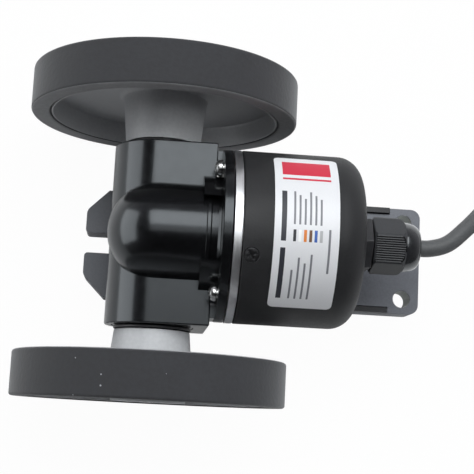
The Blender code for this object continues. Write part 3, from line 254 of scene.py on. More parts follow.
coil_turns = COIL_LAYERS * COIL_TURNS + (COIL_LAYERS - 1) * COIL_CLIMB
coil_count = round(coil_turns * COIL_POINTS)
loops = [coil_point(coil_turns * number / coil_count) for number in range(coil_count + 1)]
first_way = (loops[1] - loops[0]).normalized()
first_way.z = 0
last_way = (loops[-1] - loops[-2]).normalized()
last_way.z = 0
coil_start = loops[0] - first_way * CABLE_DIAMETER
free_route = [
    Vector((GLAND_MOUTH, 0, CABLE_HEIGHT)),
    Vector((0.0491, 0.0001, CABLE_HEIGHT)),
    Vector((0.0531, 0.0011, 0.0364)),
    Vector((0.0562, 0.0029, 0.0361)),
    Vector((0.0600, 0.0064, 0.0352)),
    Vector((0.0640, 0.0104, 0.0336)),
    Vector((0.0745, 0.0215, 0.0275)),
    Vector((0.0900, 0.0356, 0.0190)),
    Vector((0.1085, 0.0434, 0.0122)),
    coil_start - first_way * COIL_RUN_IN,
    coil_start,
]
tail = [loops[-1] + last_way * (TAIL_LENGTH * step / TAIL_POINTS) for step in range(1, TAIL_POINTS + 1)]
cable_line = smooth_line(free_route + loops + tail, 5)
signal_cable = tube_along("signal_cable", cable_line, CABLE_DIAMETER, 5)


def blended(tree, share, first, second, **settings):
    """Adds a mix of two colours or sockets, and gives its result."""
    colours = {0: share, 6: first, 7: second}
    return node_step(tree, "ShaderNodeMix", colours, data_type="RGBA", **settings).outputs[2]


def bumped(tree, height, distance):
    """Adds a relief from a height pattern, and gives its normal."""
    relief = {"Height": height, "Strength": 1.0, "Distance": distance}
    return node_step(tree, "ShaderNodeBump", relief).outputs[0]


def surface(finish):
    """A finish's nodes, its shader and the place on the object."""
    finish.use_nodes = True
    tree = finish.node_tree
    place = node_step(tree, "ShaderNodeTexCoord").outputs["Object"]
    return tree, tree.nodes["Principled BSDF"], place


def grained(name, low, high, size, rough, bump, metallic=0.0, specular=0.5):
    """A finish whose tone drifts between two colours, with a fine grain in its gloss and its surface."""
    finish = bpy.data.materials.new(name)
    tree, shader, place = surface(finish)
    drift = noise(tree, place, 0.07 / size, 4.0)
    grain = noise(tree, place, 1.0 / size, 2.0)
    both = reckoned(tree, "ADD", drift, grain)
    colour = blended(tree, ranged(tree, both, 0.75, 1.25), (*low, 1), (*high, 1))
    tree.links.new(colour, shader.inputs["Base Color"])
    tree.links.new(ranged(tree, both, 0.75, 1.25, *rough), shader.inputs["Roughness"])
    tree.links.new(bumped(tree, grain, bump), shader.inputs["Normal"])
    shader.inputs["Metallic"].default_value = metallic
    shader.inputs["Specular IOR Level"].default_value = specular
    return finish


jacket_grey = grained(
    "jacket_grey", (0.082, 0.084, 0.086), (0.108, 0.111, 0.113), 0.0004, (0.42, 0.56), 0.000012
)
signal_cable.data.materials.append(jacket_grey)
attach(signal_cable, "frame")
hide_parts("cable", "cable_coil")

# Stripped leads: five thin insulated cores that leave the jacket through a shrunk black sleeve,
# spread a little, and end in bare tinned tips.
LEAD_DIAMETER = 0.0012
LEAD_LENGTH = 0.0400
LEAD_CIRCLE = 0.0014
LEAD_SPREAD = 0.0028
LEAD_TURN = 0.3
LEAD_START = 0.002
LEAD_STRAIGHT = 0.006
LEAD_KNEE = 0.55
LEAD_BOW = 0.0004
TIP_SHARE = 0.6
SLEEVE_DIAMETER = 0.0054
SLEEVE_REACHES = (-0.008, -0.004, 0.0, 0.0025)
LEAD_COLOURS = {
    "black": (0.015, 0.015, 0.016),
    "white": (0.72, 0.72, 0.70),
    "orange": (0.75, 0.22, 0.03),
    "brown": (0.13, 0.055, 0.025),
    "blue": (0.03, 0.10, 0.42),
}
tin = grained(
    "tinned_tip", (0.60, 0.60, 0.60), (0.72, 0.72, 0.72), 0.0002, (0.25, 0.40), 0.00001, metallic=1.0
)
cable_end = cable_line[-1]
lead_side = Vector((-last_way.y, last_way.x, 0))
cord_pieces = []
for number, (colour, shade) in enumerate(LEAD_COLOURS.items()):
    angle = 2 * math.pi * (number + LEAD_TURN) / len(LEAD_COLOURS)
    out = lead_side * math.cos(angle) + Vector((0, 0, math.sin(angle)))
    near = cable_end - last_way * LEAD_START + out * LEAD_CIRCLE
    far = cable_end + last_way * LEAD_LENGTH + out * LEAD_SPREAD
    knee = near.lerp(far, LEAD_KNEE) + out * LEAD_BOW
    core_line = smooth_line([near, near + last_way * LEAD_STRAIGHT, knee, far], 8)
    core = tube_along(f"core_{colour}", core_line[:-7], LEAD_DIAMETER, 4)
    tip = tube_along(f"core_tip_{colour}", core_line[-8:], LEAD_DIAMETER * TIP_SHARE, 4)
    light = tuple(min(1.0, part * 1.25 + 0.01) for part in shade)
    core.data.materials.append(grained(f"core_jacket_{colour}", shade, light, 0.0004, (0.35, 0.5), 0.00001))
    tip.data.materials.append(tin)
    cord_pieces += [core, tip]
sleeve_line = [cable_end + last_way * reach for reach in SLEEVE_REACHES]
sleeve = tube_along("shrunk_sleeve", sleeve_line, SLEEVE_DIAMETER, 5)
sleeve_black = grained(
    "sleeve_black", (0.014, 0.014, 0.015), (0.024, 0.024, 0.025), 0.0005, (0.4, 0.55), 0.00002
)
sleeve.data.materials.append(sleeve_black)
cord_pieces.append(sleeve)
for piece in cord_pieces:
    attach(piece, "frame")
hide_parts("stripped_leads")

# Coil tie: a flat nylon strap that goes once round the coil's section on its far side.
# It is a rounded loop of thin strip, with its head on top.
TIE_WIDTH = 0.0040
TIE_THICKNESS = 0.0008
TIE_CORNER = 0.0030
TIE_HEAD = (0.0062, TIE_WIDTH * 1.3, TIE_THICKNESS * 1.6)
TIE_EDGE = 0.00018


def pick(piece, *others):
    """Selects a piece, with any others, and makes it the active one."""
    clear_selection()
    for other in (piece, *others):
        other.select_set(True)
    bpy.context.view_layer.objects.active = piece


def settled(name, scale=(1, 1, 1)):
    """Names the piece just made, and leaves its place and scale in its mesh."""
    piece = bpy.context.object
    piece.name = name
    piece.scale = scale
    bpy.ops.object.transform_apply(location=True, rotation=True, scale=True)
    return piece


def leave_edit():
    """Turns all faces outwards and leaves edit mode."""
    bpy.ops.mesh.select_all(action="SELECT")
    bpy.ops.mesh.normals_make_consistent(inside=False)
    bpy.ops.object.mode_set(mode="OBJECT")


def use_modifier(piece, kind, **settings):
    """Adds a modifier and applies it."""
    pick(piece)
    step = piece.modifiers.new(kind.lower(), kind)
    for key, value in settings.items():
        setattr(step, key, value)
    bpy.ops.object.modifier_apply(modifier=step.name)


def finish_mesh(piece, angle=30):
    """Smooths a piece, keeps its edges, and leaves its place in its mesh."""
    pick(piece)
    bpy.ops.object.transform_apply(location=True, rotation=True, scale=True)
    bpy.ops.object.shade_smooth_by_angle(angle=math.radians(angle))
    use_modifier(piece, "WEIGHTED_NORMAL", keep_sharp=True, weight=100)


def soften_edges(piece, width, segments=3, angle=40):
    """Rounds the edges that turn by more than an angle."""
    use_modifier(
        piece,
        "BEVEL",
        width=width,
        segments=segments,
        limit_method="ANGLE",
        angle_limit=math.radians(angle),
        use_clamp_overlap=True,
        harden_normals=False,
    )


tie_low, tie_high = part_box("coil_tie")
tie_middle = (tie_low + tie_high) / 2
clear_selection()
bpy.ops.mesh.primitive_plane_add(size=1.0, location=tie_middle, rotation=(math.pi / 2, 0, 0))
tie_inner = [length - 2 * TIE_THICKNESS for length in tie_high - tie_low]
tie = settled("nylon_tie", (tie_inner[0], tie_inner[2], 1))
bpy.ops.object.mode_set(mode="EDIT")
bpy.ops.mesh.select_all(action="SELECT")
bpy.ops.mesh.bevel(offset=TIE_CORNER, segments=6, affect="VERTICES")
bpy.ops.mesh.select_all(action="SELECT")
bpy.ops.mesh.delete(type="ONLY_FACE")
bpy.ops.mesh.select_all(action="SELECT")
bpy.ops.transform.translate(value=(0, -TIE_WIDTH / 2, 0))
bpy.ops.mesh.extrude_region_move(TRANSFORM_OT_translate={"value": (0, TIE_WIDTH, 0)})
leave_edit()
use_modifier(tie, "SOLIDIFY", thickness=TIE_THICKNESS, offset=1.0)
clear_selection()
head_place = (tie_middle.x, tie_middle.y, tie_high.z - TIE_THICKNESS / 2)
bpy.ops.mesh.primitive_cube_add(size=1.0, location=head_place)
tie_head = bpy.context.object
tie_head.scale = TIE_HEAD
pick(tie, tie_head)
bpy.ops.object.join()
soften_edges(tie, TIE_EDGE, 2)
finish_mesh(tie)
tie_black = grained("tie_black", (0.014, 0.014, 0.015), (0.024, 0.024, 0.026), 0.0008, (0.38, 0.52), 0.00002)
tie.data.materials.append(tie_black)
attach(tie, "frame")
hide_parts("coil_tie")
cord_pieces.append(tie)

# Mounting bracket: a cast plate with a satin dark grey coat, with painted shade that darkens it towards the
# wheels.
# It is forked at the wheel end, and has two drilled bolt holes at the cable end, a rebate along each side for
# the cradle, and wells for screws from below.
BRACKET_LENGTH = 0.1056
BRACKET_WIDTH = 0.0336
BRACKET_THICKNESS = 0.0094
BRACKET_CORNER = 0.0030
EAR_CHAMFER = 0.0066
EAR_ROUNDING = 0.0011
PLATE_EDGE = 0.00045
SLOT_WIDTH = 0.0063
SLOT_LENGTH = 0.0144
BOLT_HOLE_RADIUS = 0.0027
BOLT_HOLE_X = 0.0474
BOLT_HOLE_Y = 0.0121
REBATE_WIDTH = 0.0020
REBATE_DEPTH = 0.0020
REBATE_START = -0.0065
REBATE_END = 0.0430
WEB_START = -0.0008
WEB_END = 0.0198
WEB_WAY_DEPTH = 0.00198
SCREW_WELLS = [(-0.0390, 0.0100), (-0.0390, -0.0100), (-0.0195, 0.0100), (-0.0195, -0.0100)]
WELL_RADIUS = 0.0031
WELL_DEPTH = 0.0032
SHANK_HOLE = 0.00165
NEAR = 0.0001
BEYOND = 0.0010


def block(name, low, high):
    """A cube brought to two corners."""
    clear_selection()
    low, high = Vector(low), Vector(high)
    bpy.ops.mesh.primitive_cube_add(size=1.0, location=(low + high) / 2)
    return settled(name, high - low)


def bar(name, radius, low, high, sides=48):
    """A cylinder between two points on a line along X, Y or Z."""
    clear_selection()
    low, high = Vector(low), Vector(high)
    turn = (high - low).to_track_quat("Z", "Y").to_euler()
    bpy.ops.mesh.primitive_cylinder_add(
        vertices=sides, radius=radius, depth=(high - low).length, location=(low + high) / 2, rotation=turn
    )
    return settled(name)


def shape_with(piece, tools, operation="DIFFERENCE"):
    """Cuts tools from a piece or joins them to it."""
    for tool in tools:
        use_modifier(piece, "BOOLEAN", operation=operation, solver="EXACT", object=tool)
        bpy.data.objects.remove(tool, do_unlink=True)
    return piece


def round_uprights(piece, size, steps, chosen):
    """Bevels the bracket's upright edges whose two ends are both chosen."""
    pick(piece)
    bpy.ops.object.mode_set(mode="EDIT")
    bpy.ops.mesh.select_mode(type="EDGE")
    bpy.ops.mesh.select_all(action="DESELECT")
    bpy.ops.object.mode_set(mode="OBJECT")
    for edge in piece.data.edges:
        ends = [piece.data.vertices[number].co for number in edge.vertices]
        upright = abs(ends[0].z - ends[1].z) > BRACKET_THICKNESS / 2
        edge.select = upright and all(chosen(end) for end in ends)
    bpy.ops.object.mode_set(mode="EDIT")
    bpy.ops.mesh.bevel(offset=size, segments=steps, affect="EDGES", offset_type="OFFSET")
    bpy.ops.object.mode_set(mode="OBJECT")


half_length = BRACKET_LENGTH / 2
half_width = BRACKET_WIDTH / 2
bracket = block("fork_bracket", (-half_length, -half_width, 0), (half_length, half_width, BRACKET_THICKNESS))
round_uprights(bracket, BRACKET_CORNER, 8, lambda end: end.x > half_length - NEAR)
round_uprights(bracket, EAR_CHAMFER, 1, lambda end: end.x < NEAR - half_length)
top_beyond = BRACKET_THICKNESS + BEYOND
slot_end = -half_length + SLOT_LENGTH - SLOT_WIDTH / 2
slot_low = (-half_length - BEYOND, -SLOT_WIDTH / 2, -BEYOND)
slot_high = (slot_end, SLOT_WIDTH / 2, top_beyond)
slot_radius = SLOT_WIDTH / 2 * 1.0005
slot_round = bar("slot_round", slot_radius, (slot_end, 0, -2 * BEYOND), (slot_end, 0, top_beyond + BEYOND))
shape_with(bracket, [block("slot_cut", slot_low, slot_high), slot_round])
round_uprights(bracket, EAR_ROUNDING, 4, lambda end: end.x < NEAR - half_length)
for side in (1, -1):
    y = side * BOLT_HOLE_Y
    hole = bar("bolt_hole", BOLT_HOLE_RADIUS, (BOLT_HOLE_X, y, -BEYOND), (BOLT_HOLE_X, y, top_beyond))
    inner, outer = sorted((side * (half_width - REBATE_WIDTH), side * (half_width + BEYOND)))
    rebate_low = (REBATE_START, inner, BRACKET_THICKNESS - REBATE_DEPTH)
    rebate = block("rebate", rebate_low, (REBATE_END, outer, top_beyond))
    shape_with(bracket, [hole, rebate])
web_low = (WEB_START, -half_width - BEYOND, BRACKET_THICKNESS - WEB_WAY_DEPTH)
shape_with(bracket, [block("web_way", web_low, (WEB_END, half_width + BEYOND, top_beyond))])
for x, y in SCREW_WELLS:
    well = bar("screw_well", WELL_RADIUS, (x, y, -BEYOND), (x, y, WELL_DEPTH), 32)
    way_up = bar("shank_way", SHANK_HOLE, (x, y, -BEYOND), (x, y, top_beyond), 24)
    shape_with(bracket, [well, way_up])
soften_edges(bracket, PLATE_EDGE, 3, 50)
finish_mesh(bracket)
cast_grey = grained("cast_grey", (0.138, 0.145, 0.166), (0.172, 0.180, 0.203), 0.0006, (0.42, 0.58), 0.00002)
tree, shader, place = surface(cast_grey)
along = node_step(tree, "ShaderNodeSeparateXYZ", {"Vector": place}).outputs["X"]
# painted shade: the coat's colour darkens towards the wheel end, where the wheels shade the ears
painted_shade_towards_wheels = ranged(tree, along, -0.048, 0.02, low=0.66, high=1.02)
coat = shader.inputs["Base Color"].links[0].from_socket
toned = blended(tree, 1.0, coat, painted_shade_towards_wheels, blend_type="MULTIPLY")
tree.links.new(toned, shader.inputs["Base Color"])
bracket.data.materials.append(cast_grey)
# bare metal on the drilled bolt-hole walls, painted paler than it is to stand in for light reaching into the
# holes
bare_cast_and_painted_light = grained("bare_cast_and_painted_light", (0.46, 0.48, 0.46), (0.58, 0.60, 0.58), 0.0006, (0.40, 0.55), 0.00002)
bracket.data.materials.append(bare_cast_and_painted_light)
for polygon in bracket.data.polygons:
    middle = Vector((BOLT_HOLE_X, math.copysign(BOLT_HOLE_Y, polygon.center.y)))
    drilled = (polygon.center.xy - middle).length < BOLT_HOLE_RADIUS + NEAR
    polygon.material_index = 1 if drilled and abs(polygon.normal.z) < 0.5 else 0
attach(bracket, "frame")
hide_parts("bracket")

# Cradle: two black rails that snap into the bracket's rebates, joined by a web under the cover.
# Their tall part holds the cover from rolling, and a low tail runs on towards the cable.
cradle_low, cradle_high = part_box("cradle")
RAIL_THICKNESS = 0.0017
RAIL_STEP = 0.0257
RAIL_TAIL_TOP = 0.0106
RAIL_LAP = 0.0040
RAIL_SLIVER = 0.00001
RAIL_EDGE = 0.00022
CRADLE_WEB_LOW = (-0.0005, -0.0158, 0.0080)
CRADLE_WEB_HIGH = (0.0195, 0.0158, 0.0111)
cradle = block("cover_cradle", CRADLE_WEB_LOW, CRADLE_WEB_HIGH)
for side in (1, -1):
    inner, outer = sorted((side * (half_width - RAIL_THICKNESS), side * half_width))
    tall = block("rail_tall", (cradle_low.x, inner, cradle_low.z), (RAIL_STEP, outer, cradle_high.z))
    tail_low = (RAIL_STEP - RAIL_LAP, inner + RAIL_SLIVER, cradle_low.z + RAIL_SLIVER)
    rail_tail = block("rail_tail", tail_low, (cradle_high.x, outer - RAIL_SLIVER, RAIL_TAIL_TOP))
    shape_with(tall, [rail_tail], "UNION")
    shape_with(cradle, [tall], "UNION")
soften_edges(cradle, RAIL_EDGE, 2, 50)
finish_mesh(cradle)
rail_black = grained(
    "rail_black", (0.016, 0.016, 0.018), (0.026, 0.026, 0.029), 0.0006, (0.38, 0.52), 0.00002
)
cradle.data.materials.append(rail_black)
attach(cradle, "frame")
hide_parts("cradle")

# Gear housing: a gloss black moulding. A tube and a square block lie over the wheel axle, and a bullet-nosed
# dome crosses above them over the encoder gear. A collar with two lobes, each a sector of a ring, leads to
# a round flange, and two ribs tie the flange to the block.
AXLE = Vector((-0.0305, 0, 0.0270))
SHAFT = Vector((-0.0305, 0, 0.0365))
HOUSING_HALF = 0.0266
TUBE_RADIUS = 0.0141
BLOCK_REACH = 0.0160
BLOCK_BOTTOM = -0.0170
PAD_LOW = (-0.0120, -0.0150, -0.0173)
PAD_HIGH = (0.0152, 0.0150, -0.0070)
DOME_RADIUS = 0.0146
DOME_END = 0.0134
COLLAR_RADIUS = 0.0151
COLLAR_BEAD = 0.0012
COLLAR_TAPER = 0.0008
COLLAR_END = 0.0174
FLANGE_RADIUS = 0.0250
FLANGE_END = 0.0200
LOBE_BORE = 0.0130
LOBE_RADIUS = 0.0172
LOBE_LENGTH = 0.0052
LOBE_INNER = 0.0091
LOBE_OUTER = 0.0190
LOBE_BOTTOM = -0.0045
LOBE_TOP = 0.0170
TIE_RIB_INNER = 0.0207
TIE_RIB_OUTER = 0.0243
TIE_RIB_BOTTOM = 0.0020
TIE_RIB_TOP = 0.0134
FLANGE_LAP = 0.0004
BLOCK_EDGE = 0.0006
COLLAR_EDGE = 0.00022
CAP_WELL_FLOOR = 0.0250
CAP_WELL_RADIUS = 0.0121
BEARING_FLOOR = 0.0187
BEARING_SEAT = 0.00955
GEAR_ROOM = 0.0062
NOSE_FLOOR = -0.0119
NOSE_SEAT = 0.00655
NOSE_SEAT_END = -0.0063
REAR_SEAT_START = 0.0127
PAST_HOUSING = 0.05
PAST_FLANGE = 0.03
FLANGE_SCREW_CIRCLE = 0.0206
FLANGE_ANGLES = [math.radians(60 + 120 * number) for number in range(3)]
DRIVER_WAY = 0.0031
TAPPED_BOTTOM = 0.008
TAPPED_TOP = 0.0170


def on_shaft(reach):
    """A point on the encoder axis."""
    return SHAFT + Vector((reach, 0, 0))


def outwards(angle):
    """The direction away from the encoder axis at an angle from the top."""
    return Vector((0, math.sin(angle), math.cos(angle)))


def spun(name, profile, axis, centre, steps):
    """Extrudes a vertex along a profile of (along, radius) points and spins it about the axis."""
    along = {"X": Vector((1, 0, 0)), "Y": Vector((0, 1, 0)), "Z": Vector((0, 0, 1))}[axis]
    out = Vector((1, 0, 0)) if axis == "Z" else Vector((0, 0, 1))
    spots = [Vector(centre) + along * reach + out * radius for reach, radius in profile]
    clear_selection()
    bpy.ops.mesh.primitive_plane_add(size=0.002)
    piece = bpy.context.object
    piece.name = name
    bpy.ops.object.mode_set(mode="EDIT")
    bpy.ops.mesh.select_mode(type="VERT")
    bpy.ops.mesh.select_all(action="SELECT")
    bpy.ops.mesh.merge(type="CENTER")
    bpy.ops.transform.translate(value=spots[0])
    for here, there in zip(spots, spots[1:]):
        bpy.ops.mesh.extrude_vertices_move(TRANSFORM_OT_translate={"value": there - here})
    bpy.ops.mesh.select_all(action="SELECT")
    bpy.ops.mesh.spin(steps=steps, angle=2 * math.pi, center=centre, axis=along)
    bpy.ops.mesh.select_all(action="SELECT")
    bpy.ops.mesh.remove_doubles(threshold=0.000002)
    leave_edit()
    return piece


def rounded(centre_along, centre_radius, radius, first, last, steps):
    """Points on an arc of the profile, its angles counted from the axis towards the radius."""
    points = []
    for number in range(steps + 1):
        angle = first + (last - first) * number / steps
        points.append((centre_along + radius * math.cos(angle), centre_radius + radius * math.sin(angle)))
    return points


def stepped(bore, start, *steps):
    """A profile in steps, each given by its end and radius, closed along the bore or ending on the axis."""
    profile = [(start, bore)]
    for end, radius in steps:
        profile += [(start, radius), (end, radius)]
        start = end
    profile.append((start, bore))
    return profile + profile[:1] if bore else profile


tube_end = Vector((0, HOUSING_HALF, 0))
housing = bar("gear_case", TUBE_RADIUS, AXLE - tube_end, AXLE + tube_end, 160)
bpy.ops.object.mode_set(mode="EDIT")
bpy.ops.mesh.select_all(action="SELECT")
bpy.ops.mesh.bisect(plane_co=AXLE, plane_no=(1, 0, 0), use_fill=True, clear_outer=True)
bpy.ops.mesh.extrude_region_move(TRANSFORM_OT_translate={"value": (BLOCK_REACH, 0, 0)})
bpy.ops.mesh.select_all(action="SELECT")
bpy.ops.mesh.normals_make_consistent(inside=False)
bpy.ops.mesh.select_all(action="DESELECT")
bpy.ops.object.mode_set(mode="OBJECT")
for vertex in housing.data.vertices:
    beside = vertex.co.x > AXLE.x - NEAR
    vertex.select = beside and vertex.co.z < AXLE.z - TUBE_RADIUS + 5 * NEAR
bpy.ops.object.mode_set(mode="EDIT")
bpy.ops.mesh.select_mode(type="VERT")
bpy.ops.transform.translate(value=(0, 0, BLOCK_BOTTOM + TUBE_RADIUS))
bpy.ops.object.mode_set(mode="OBJECT")
soften_edges(housing, BLOCK_EDGE, 3, 50)
dome_profile = [(-DOME_RADIUS, 0)]
dome_profile += rounded(0, 0, DOME_RADIUS, math.pi * 0.98, math.pi / 2, 24)
dome_profile += [
    (DOME_END, DOME_RADIUS),
    (DOME_END, COLLAR_RADIUS),
    (DOME_END + COLLAR_BEAD, COLLAR_RADIUS),
    (DOME_END + COLLAR_BEAD, DOME_RADIUS),
    (COLLAR_END - COLLAR_TAPER, DOME_RADIUS),
    (COLLAR_END, COLLAR_RADIUS),
    (COLLAR_END, FLANGE_RADIUS),
    (FLANGE_END, FLANGE_RADIUS),
    (FLANGE_END, 0),
]
dome = spun("gear_dome", dome_profile, "X", SHAFT, 128)
soften_edges(dome, COLLAR_EDGE, 2, 40)
pad = block("pad", AXLE + Vector(PAD_LOW), AXLE + Vector(PAD_HIGH))
shape_with(housing, [pad, dome], "UNION")
lobe_start, rib_end = COLLAR_END - LOBE_LENGTH, COLLAR_END + FLANGE_LAP
for side in (1, -1):
    lobe = spun("collar_lobe", stepped(LOBE_BORE, lobe_start, (rib_end, LOBE_RADIUS)), "X", SHAFT, 96)
    inner, outer = sorted((side * LOBE_INNER, side * LOBE_OUTER))
    keep_low = SHAFT + Vector((lobe_start - BEYOND, inner, LOBE_BOTTOM))
    keep_high = SHAFT + Vector((rib_end + BEYOND, outer, LOBE_TOP))
    shape_with(lobe, [block("lobe_part", keep_low, keep_high)], "INTERSECT")
    soften_edges(lobe, BLOCK_EDGE, 3, 50)
    inner, outer = sorted((side * TIE_RIB_INNER, side * TIE_RIB_OUTER))
    rib_low = AXLE + Vector((BLOCK_REACH - BLOCK_EDGE, inner, TIE_RIB_BOTTOM))
    rib_high = AXLE + Vector((rib_end, outer, TIE_RIB_TOP))
    shape_with(housing, [lobe, block("tie_rib", rib_low, rib_high)], "UNION")
axle_hollow = stepped(
    0,
    -PAST_HOUSING,
    (-CAP_WELL_FLOOR, CAP_WELL_RADIUS),
    (-BEARING_FLOOR, BEARING_SEAT),
    (BEARING_FLOOR, GEAR_ROOM),
    (CAP_WELL_FLOOR, BEARING_SEAT),
    (PAST_HOUSING, CAP_WELL_RADIUS),
)
shaft_hollow = stepped(
    0, NOSE_FLOOR, (NOSE_SEAT_END, NOSE_SEAT), (REAR_SEAT_START, GEAR_ROOM), (PAST_FLANGE, BEARING_SEAT)
)
axle_space = spun("axle_hollow", axle_hollow, "Y", AXLE, 50)
shaft_space = spun("shaft_hollow", shaft_hollow, "X", SHAFT, 46)
shape_with(housing, [axle_space, shaft_space])
for angle in FLANGE_ANGLES:
    aside = outwards(angle) * FLANGE_SCREW_CIRCLE
    screw_way = bar("screw_way", SHANK_HOLE, on_shaft(0.010) + aside, on_shaft(PAST_FLANGE) + aside, 24)
    shape_with(housing, [screw_way])
    if math.cos(angle) < -0.9:
        driver_way = bar("driver_way", DRIVER_WAY, on_shaft(-0.03) + aside, on_shaft(COLLAR_END) + aside, 32)
        shape_with(housing, [driver_way])
for x, y in SCREW_WELLS:
    shape_with(housing, [bar("tapped", SHANK_HOLE, (x, y, TAPPED_BOTTOM), (x, y, TAPPED_TOP), 24)])
finish_mesh(housing, 28)


def lacquered(name, low, high, rough, size):
    """Gloss black moulding: nearly black, with faint flow marks, polish haze and a little orange peel."""
    finish = grained(name, low, high, size, rough, 0.000002)
    tree, shader, place = surface(finish)
    peel = noise(tree, place, 260.0, 1.0)
    tree.links.new(bumped(tree, peel, 0.000014), shader.inputs["Normal"])
    shader.inputs["Specular Tint"].default_value = (0.88, 0.95, 1.0, 1.0)
    shader.inputs["Coat Weight"].default_value = 0.30
    shader.inputs["Coat Roughness"].default_value = 0.12
    return finish


gloss_black = lacquered(
    "gloss_black", (0.0028, 0.0028, 0.0031), (0.0048, 0.0048, 0.0054), (0.20, 0.26), 0.0016
)
housing.data.materials.append(gloss_black)
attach(housing, "frame")
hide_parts("gear_housing")

# Bearing caps: thin gloss black moulded rings, pressed flush into the tube's ends.
# They hold the axle bearings in their seats and leave room for the dust discs' sleeves.
CAP_START = 0.0253
CAP_END = 0.0266
CAP_RADIUS = 0.0118
CAP_BORE = 0.0086
CAP_EDGE = 0.0003


def copied(piece, name, move):
    """A copy of a piece with its own mesh, moved by a matrix."""
    other = piece.copy()
    other.data = piece.data.copy()
    other.name = name
    other.data.transform(move)
    scene.collection.objects.link(other)
    return other


other_end = Matrix.Translation(AXLE) @ Matrix.Rotation(math.pi, 4, "Z") @ Matrix.Translation(-AXLE)
left_cap = spun("left_cap", stepped(CAP_BORE, CAP_START, (CAP_END, CAP_RADIUS)), "Y", AXLE, 128)
soften_edges(left_cap, CAP_EDGE, 3)
finish_mesh(left_cap)
left_cap.data.materials.append(gloss_black)
right_cap = copied(left_cap, "right_cap", other_end)
for piece, node in ((left_cap, "bearing_cap_left"), (right_cap, "bearing_cap_right")):
    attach(piece, "frame")
    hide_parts(node)

# Dust discs: thin black nylon washers with a short sleeve, moulded in one piece. They sit on the axle
# between wheel and bearing, turn with the wheels and keep dirt from the bearings.
AXLE_BORE = 0.0031
DUST_SLEEVE_START = 0.0253
DUST_SLEEVE_RADIUS = 0.0044
DUST_DISC_START = 0.0269
DUST_DISC_END = 0.0276
DUST_DISC_RADIUS = 0.01135
DUST_EDGE = 0.00015
dust_steps = [(DUST_DISC_START, DUST_SLEEVE_RADIUS), (DUST_DISC_END, DUST_DISC_RADIUS)]
dust_profile = stepped(AXLE_BORE, DUST_SLEEVE_START, *dust_steps)
left_dust = spun("left_dust_disc", dust_profile, "Y", AXLE, 96)
soften_edges(left_dust, DUST_EDGE, 2)
finish_mesh(left_dust)
nylon_black = grained(
    "nylon_black", (0.020, 0.020, 0.021), (0.034, 0.034, 0.036), 0.0007, (0.36, 0.50), 0.00002
)
left_dust.data.materials.append(nylon_black)
right_dust = copied(left_dust, "right_dust_disc", other_end)
for piece, node in ((left_dust, "dust_disc_left"), (right_dust, "dust_disc_right")):
    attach(piece, "wheel_set")
    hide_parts(node)

# Wheel hubs: light grey mouldings with a tapered neck, a deep dished web with filleted roots, and a thin
# rim that the tyre is bonded to. The outer side has a boss with a pocket for the axle screw.
NECK_START = 0.0279
WHEEL_START = 0.0355
WHEEL_END = 0.0485
WEB_IN = 0.0425
WEB_OUT = 0.0448
RIM_RADIUS = 0.0339
RIM_INNER = 0.0334
RIM_START = 0.0358
RIM_END = 0.0482
NECK_RADIUS = 0.0111
NECK_FACE_RADIUS = 0.0119
BOSS_RADIUS = 0.0109
POCKET_RADIUS = 0.0065
POCKET_FLOOR = 0.0461
HUB_EDGE = 0.00025
neck_fillet = [(0.0408, 0.01245), (0.0418, 0.0128), (0.0423, 0.0134), (WEB_IN, 0.0143)]
inner_rim_fillet = [(WEB_IN, 0.0323), (0.0422, 0.0330), (0.0415, 0.0333)]
outer_rim_fillet = [(0.0458, 0.0333), (0.0451, 0.0327), (WEB_OUT, 0.0316)]
boss_fillet = [(WEB_OUT, 0.0122), (0.0451, 0.0114), (0.0458, 0.0110)]
hub_profile = [(NECK_START, AXLE_BORE), (NECK_START, NECK_RADIUS), (WHEEL_START, NECK_FACE_RADIUS)]
hub_profile += neck_fillet + inner_rim_fillet
hub_profile += [(RIM_START, RIM_INNER), (RIM_START, RIM_RADIUS), (RIM_END, RIM_RADIUS), (RIM_END, RIM_INNER)]
hub_profile += outer_rim_fillet + boss_fillet
hub_profile += [(WHEEL_END, BOSS_RADIUS), (WHEEL_END, POCKET_RADIUS)]
hub_profile += [(POCKET_FLOOR, POCKET_RADIUS), (POCKET_FLOOR, AXLE_BORE), (NECK_START, AXLE_BORE)]
left_hub = spun("left_hub", hub_profile, "Y", AXLE, 160)
soften_edges(left_hub, HUB_EDGE, 2, 50)
finish_mesh(left_hub)
hub_grey = grained("hub_grey", (0.49, 0.495, 0.505), (0.55, 0.555, 0.565), 0.0010, (0.40, 0.55), 0.00002)
left_hub.data.materials.append(hub_grey)
right_hub = copied(left_hub, "right_hub", other_end)
for piece, node in ((left_hub, "wheel_hub_left"), (right_hub, "wheel_hub_right")):
    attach(piece, "wheel_set")
    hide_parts(node)

# Tyres: dark grey rubber rings, bonded to the hubs and ground to size. The tread is matte with a fine tooth,
# a soft sheen and a few pale specks, and the side towards the housing is the same rubber painted paler, as
# painted light.
TYRE_RADIUS = 0.0398
TYRE_BORE = 0.0342
TYRE_EDGE = 0.0008
SPECK_SCALE = 420.0
SPECK_RARITY = 0.930
SPECK_SIZE = 0.10
SPECK_STRENGTH = 0.7
SPECK_PALE = (0.55, 0.56, 0.60, 1)
left_tyre = spun("left_tyre", stepped(TYRE_BORE, WHEEL_START, (WHEEL_END, TYRE_RADIUS)), "Y", AXLE, 192)
soften_edges(left_tyre, TYRE_EDGE, 4)
finish_mesh(left_tyre)
tyre_rubber = grained(
    "tyre_rubber", (0.035, 0.035, 0.038), (0.045, 0.046, 0.050), 0.0012, (0.72, 0.88), 0.00006, specular=0.30
)
tree, shader, place = surface(tyre_rubber)
dust = node_step(tree, "ShaderNodeTexVoronoi", {"Vector": place, "Scale": SPECK_SCALE})
chosen = node_step(tree, "ShaderNodeSeparateColor", {"Color": dust.outputs["Color"]})
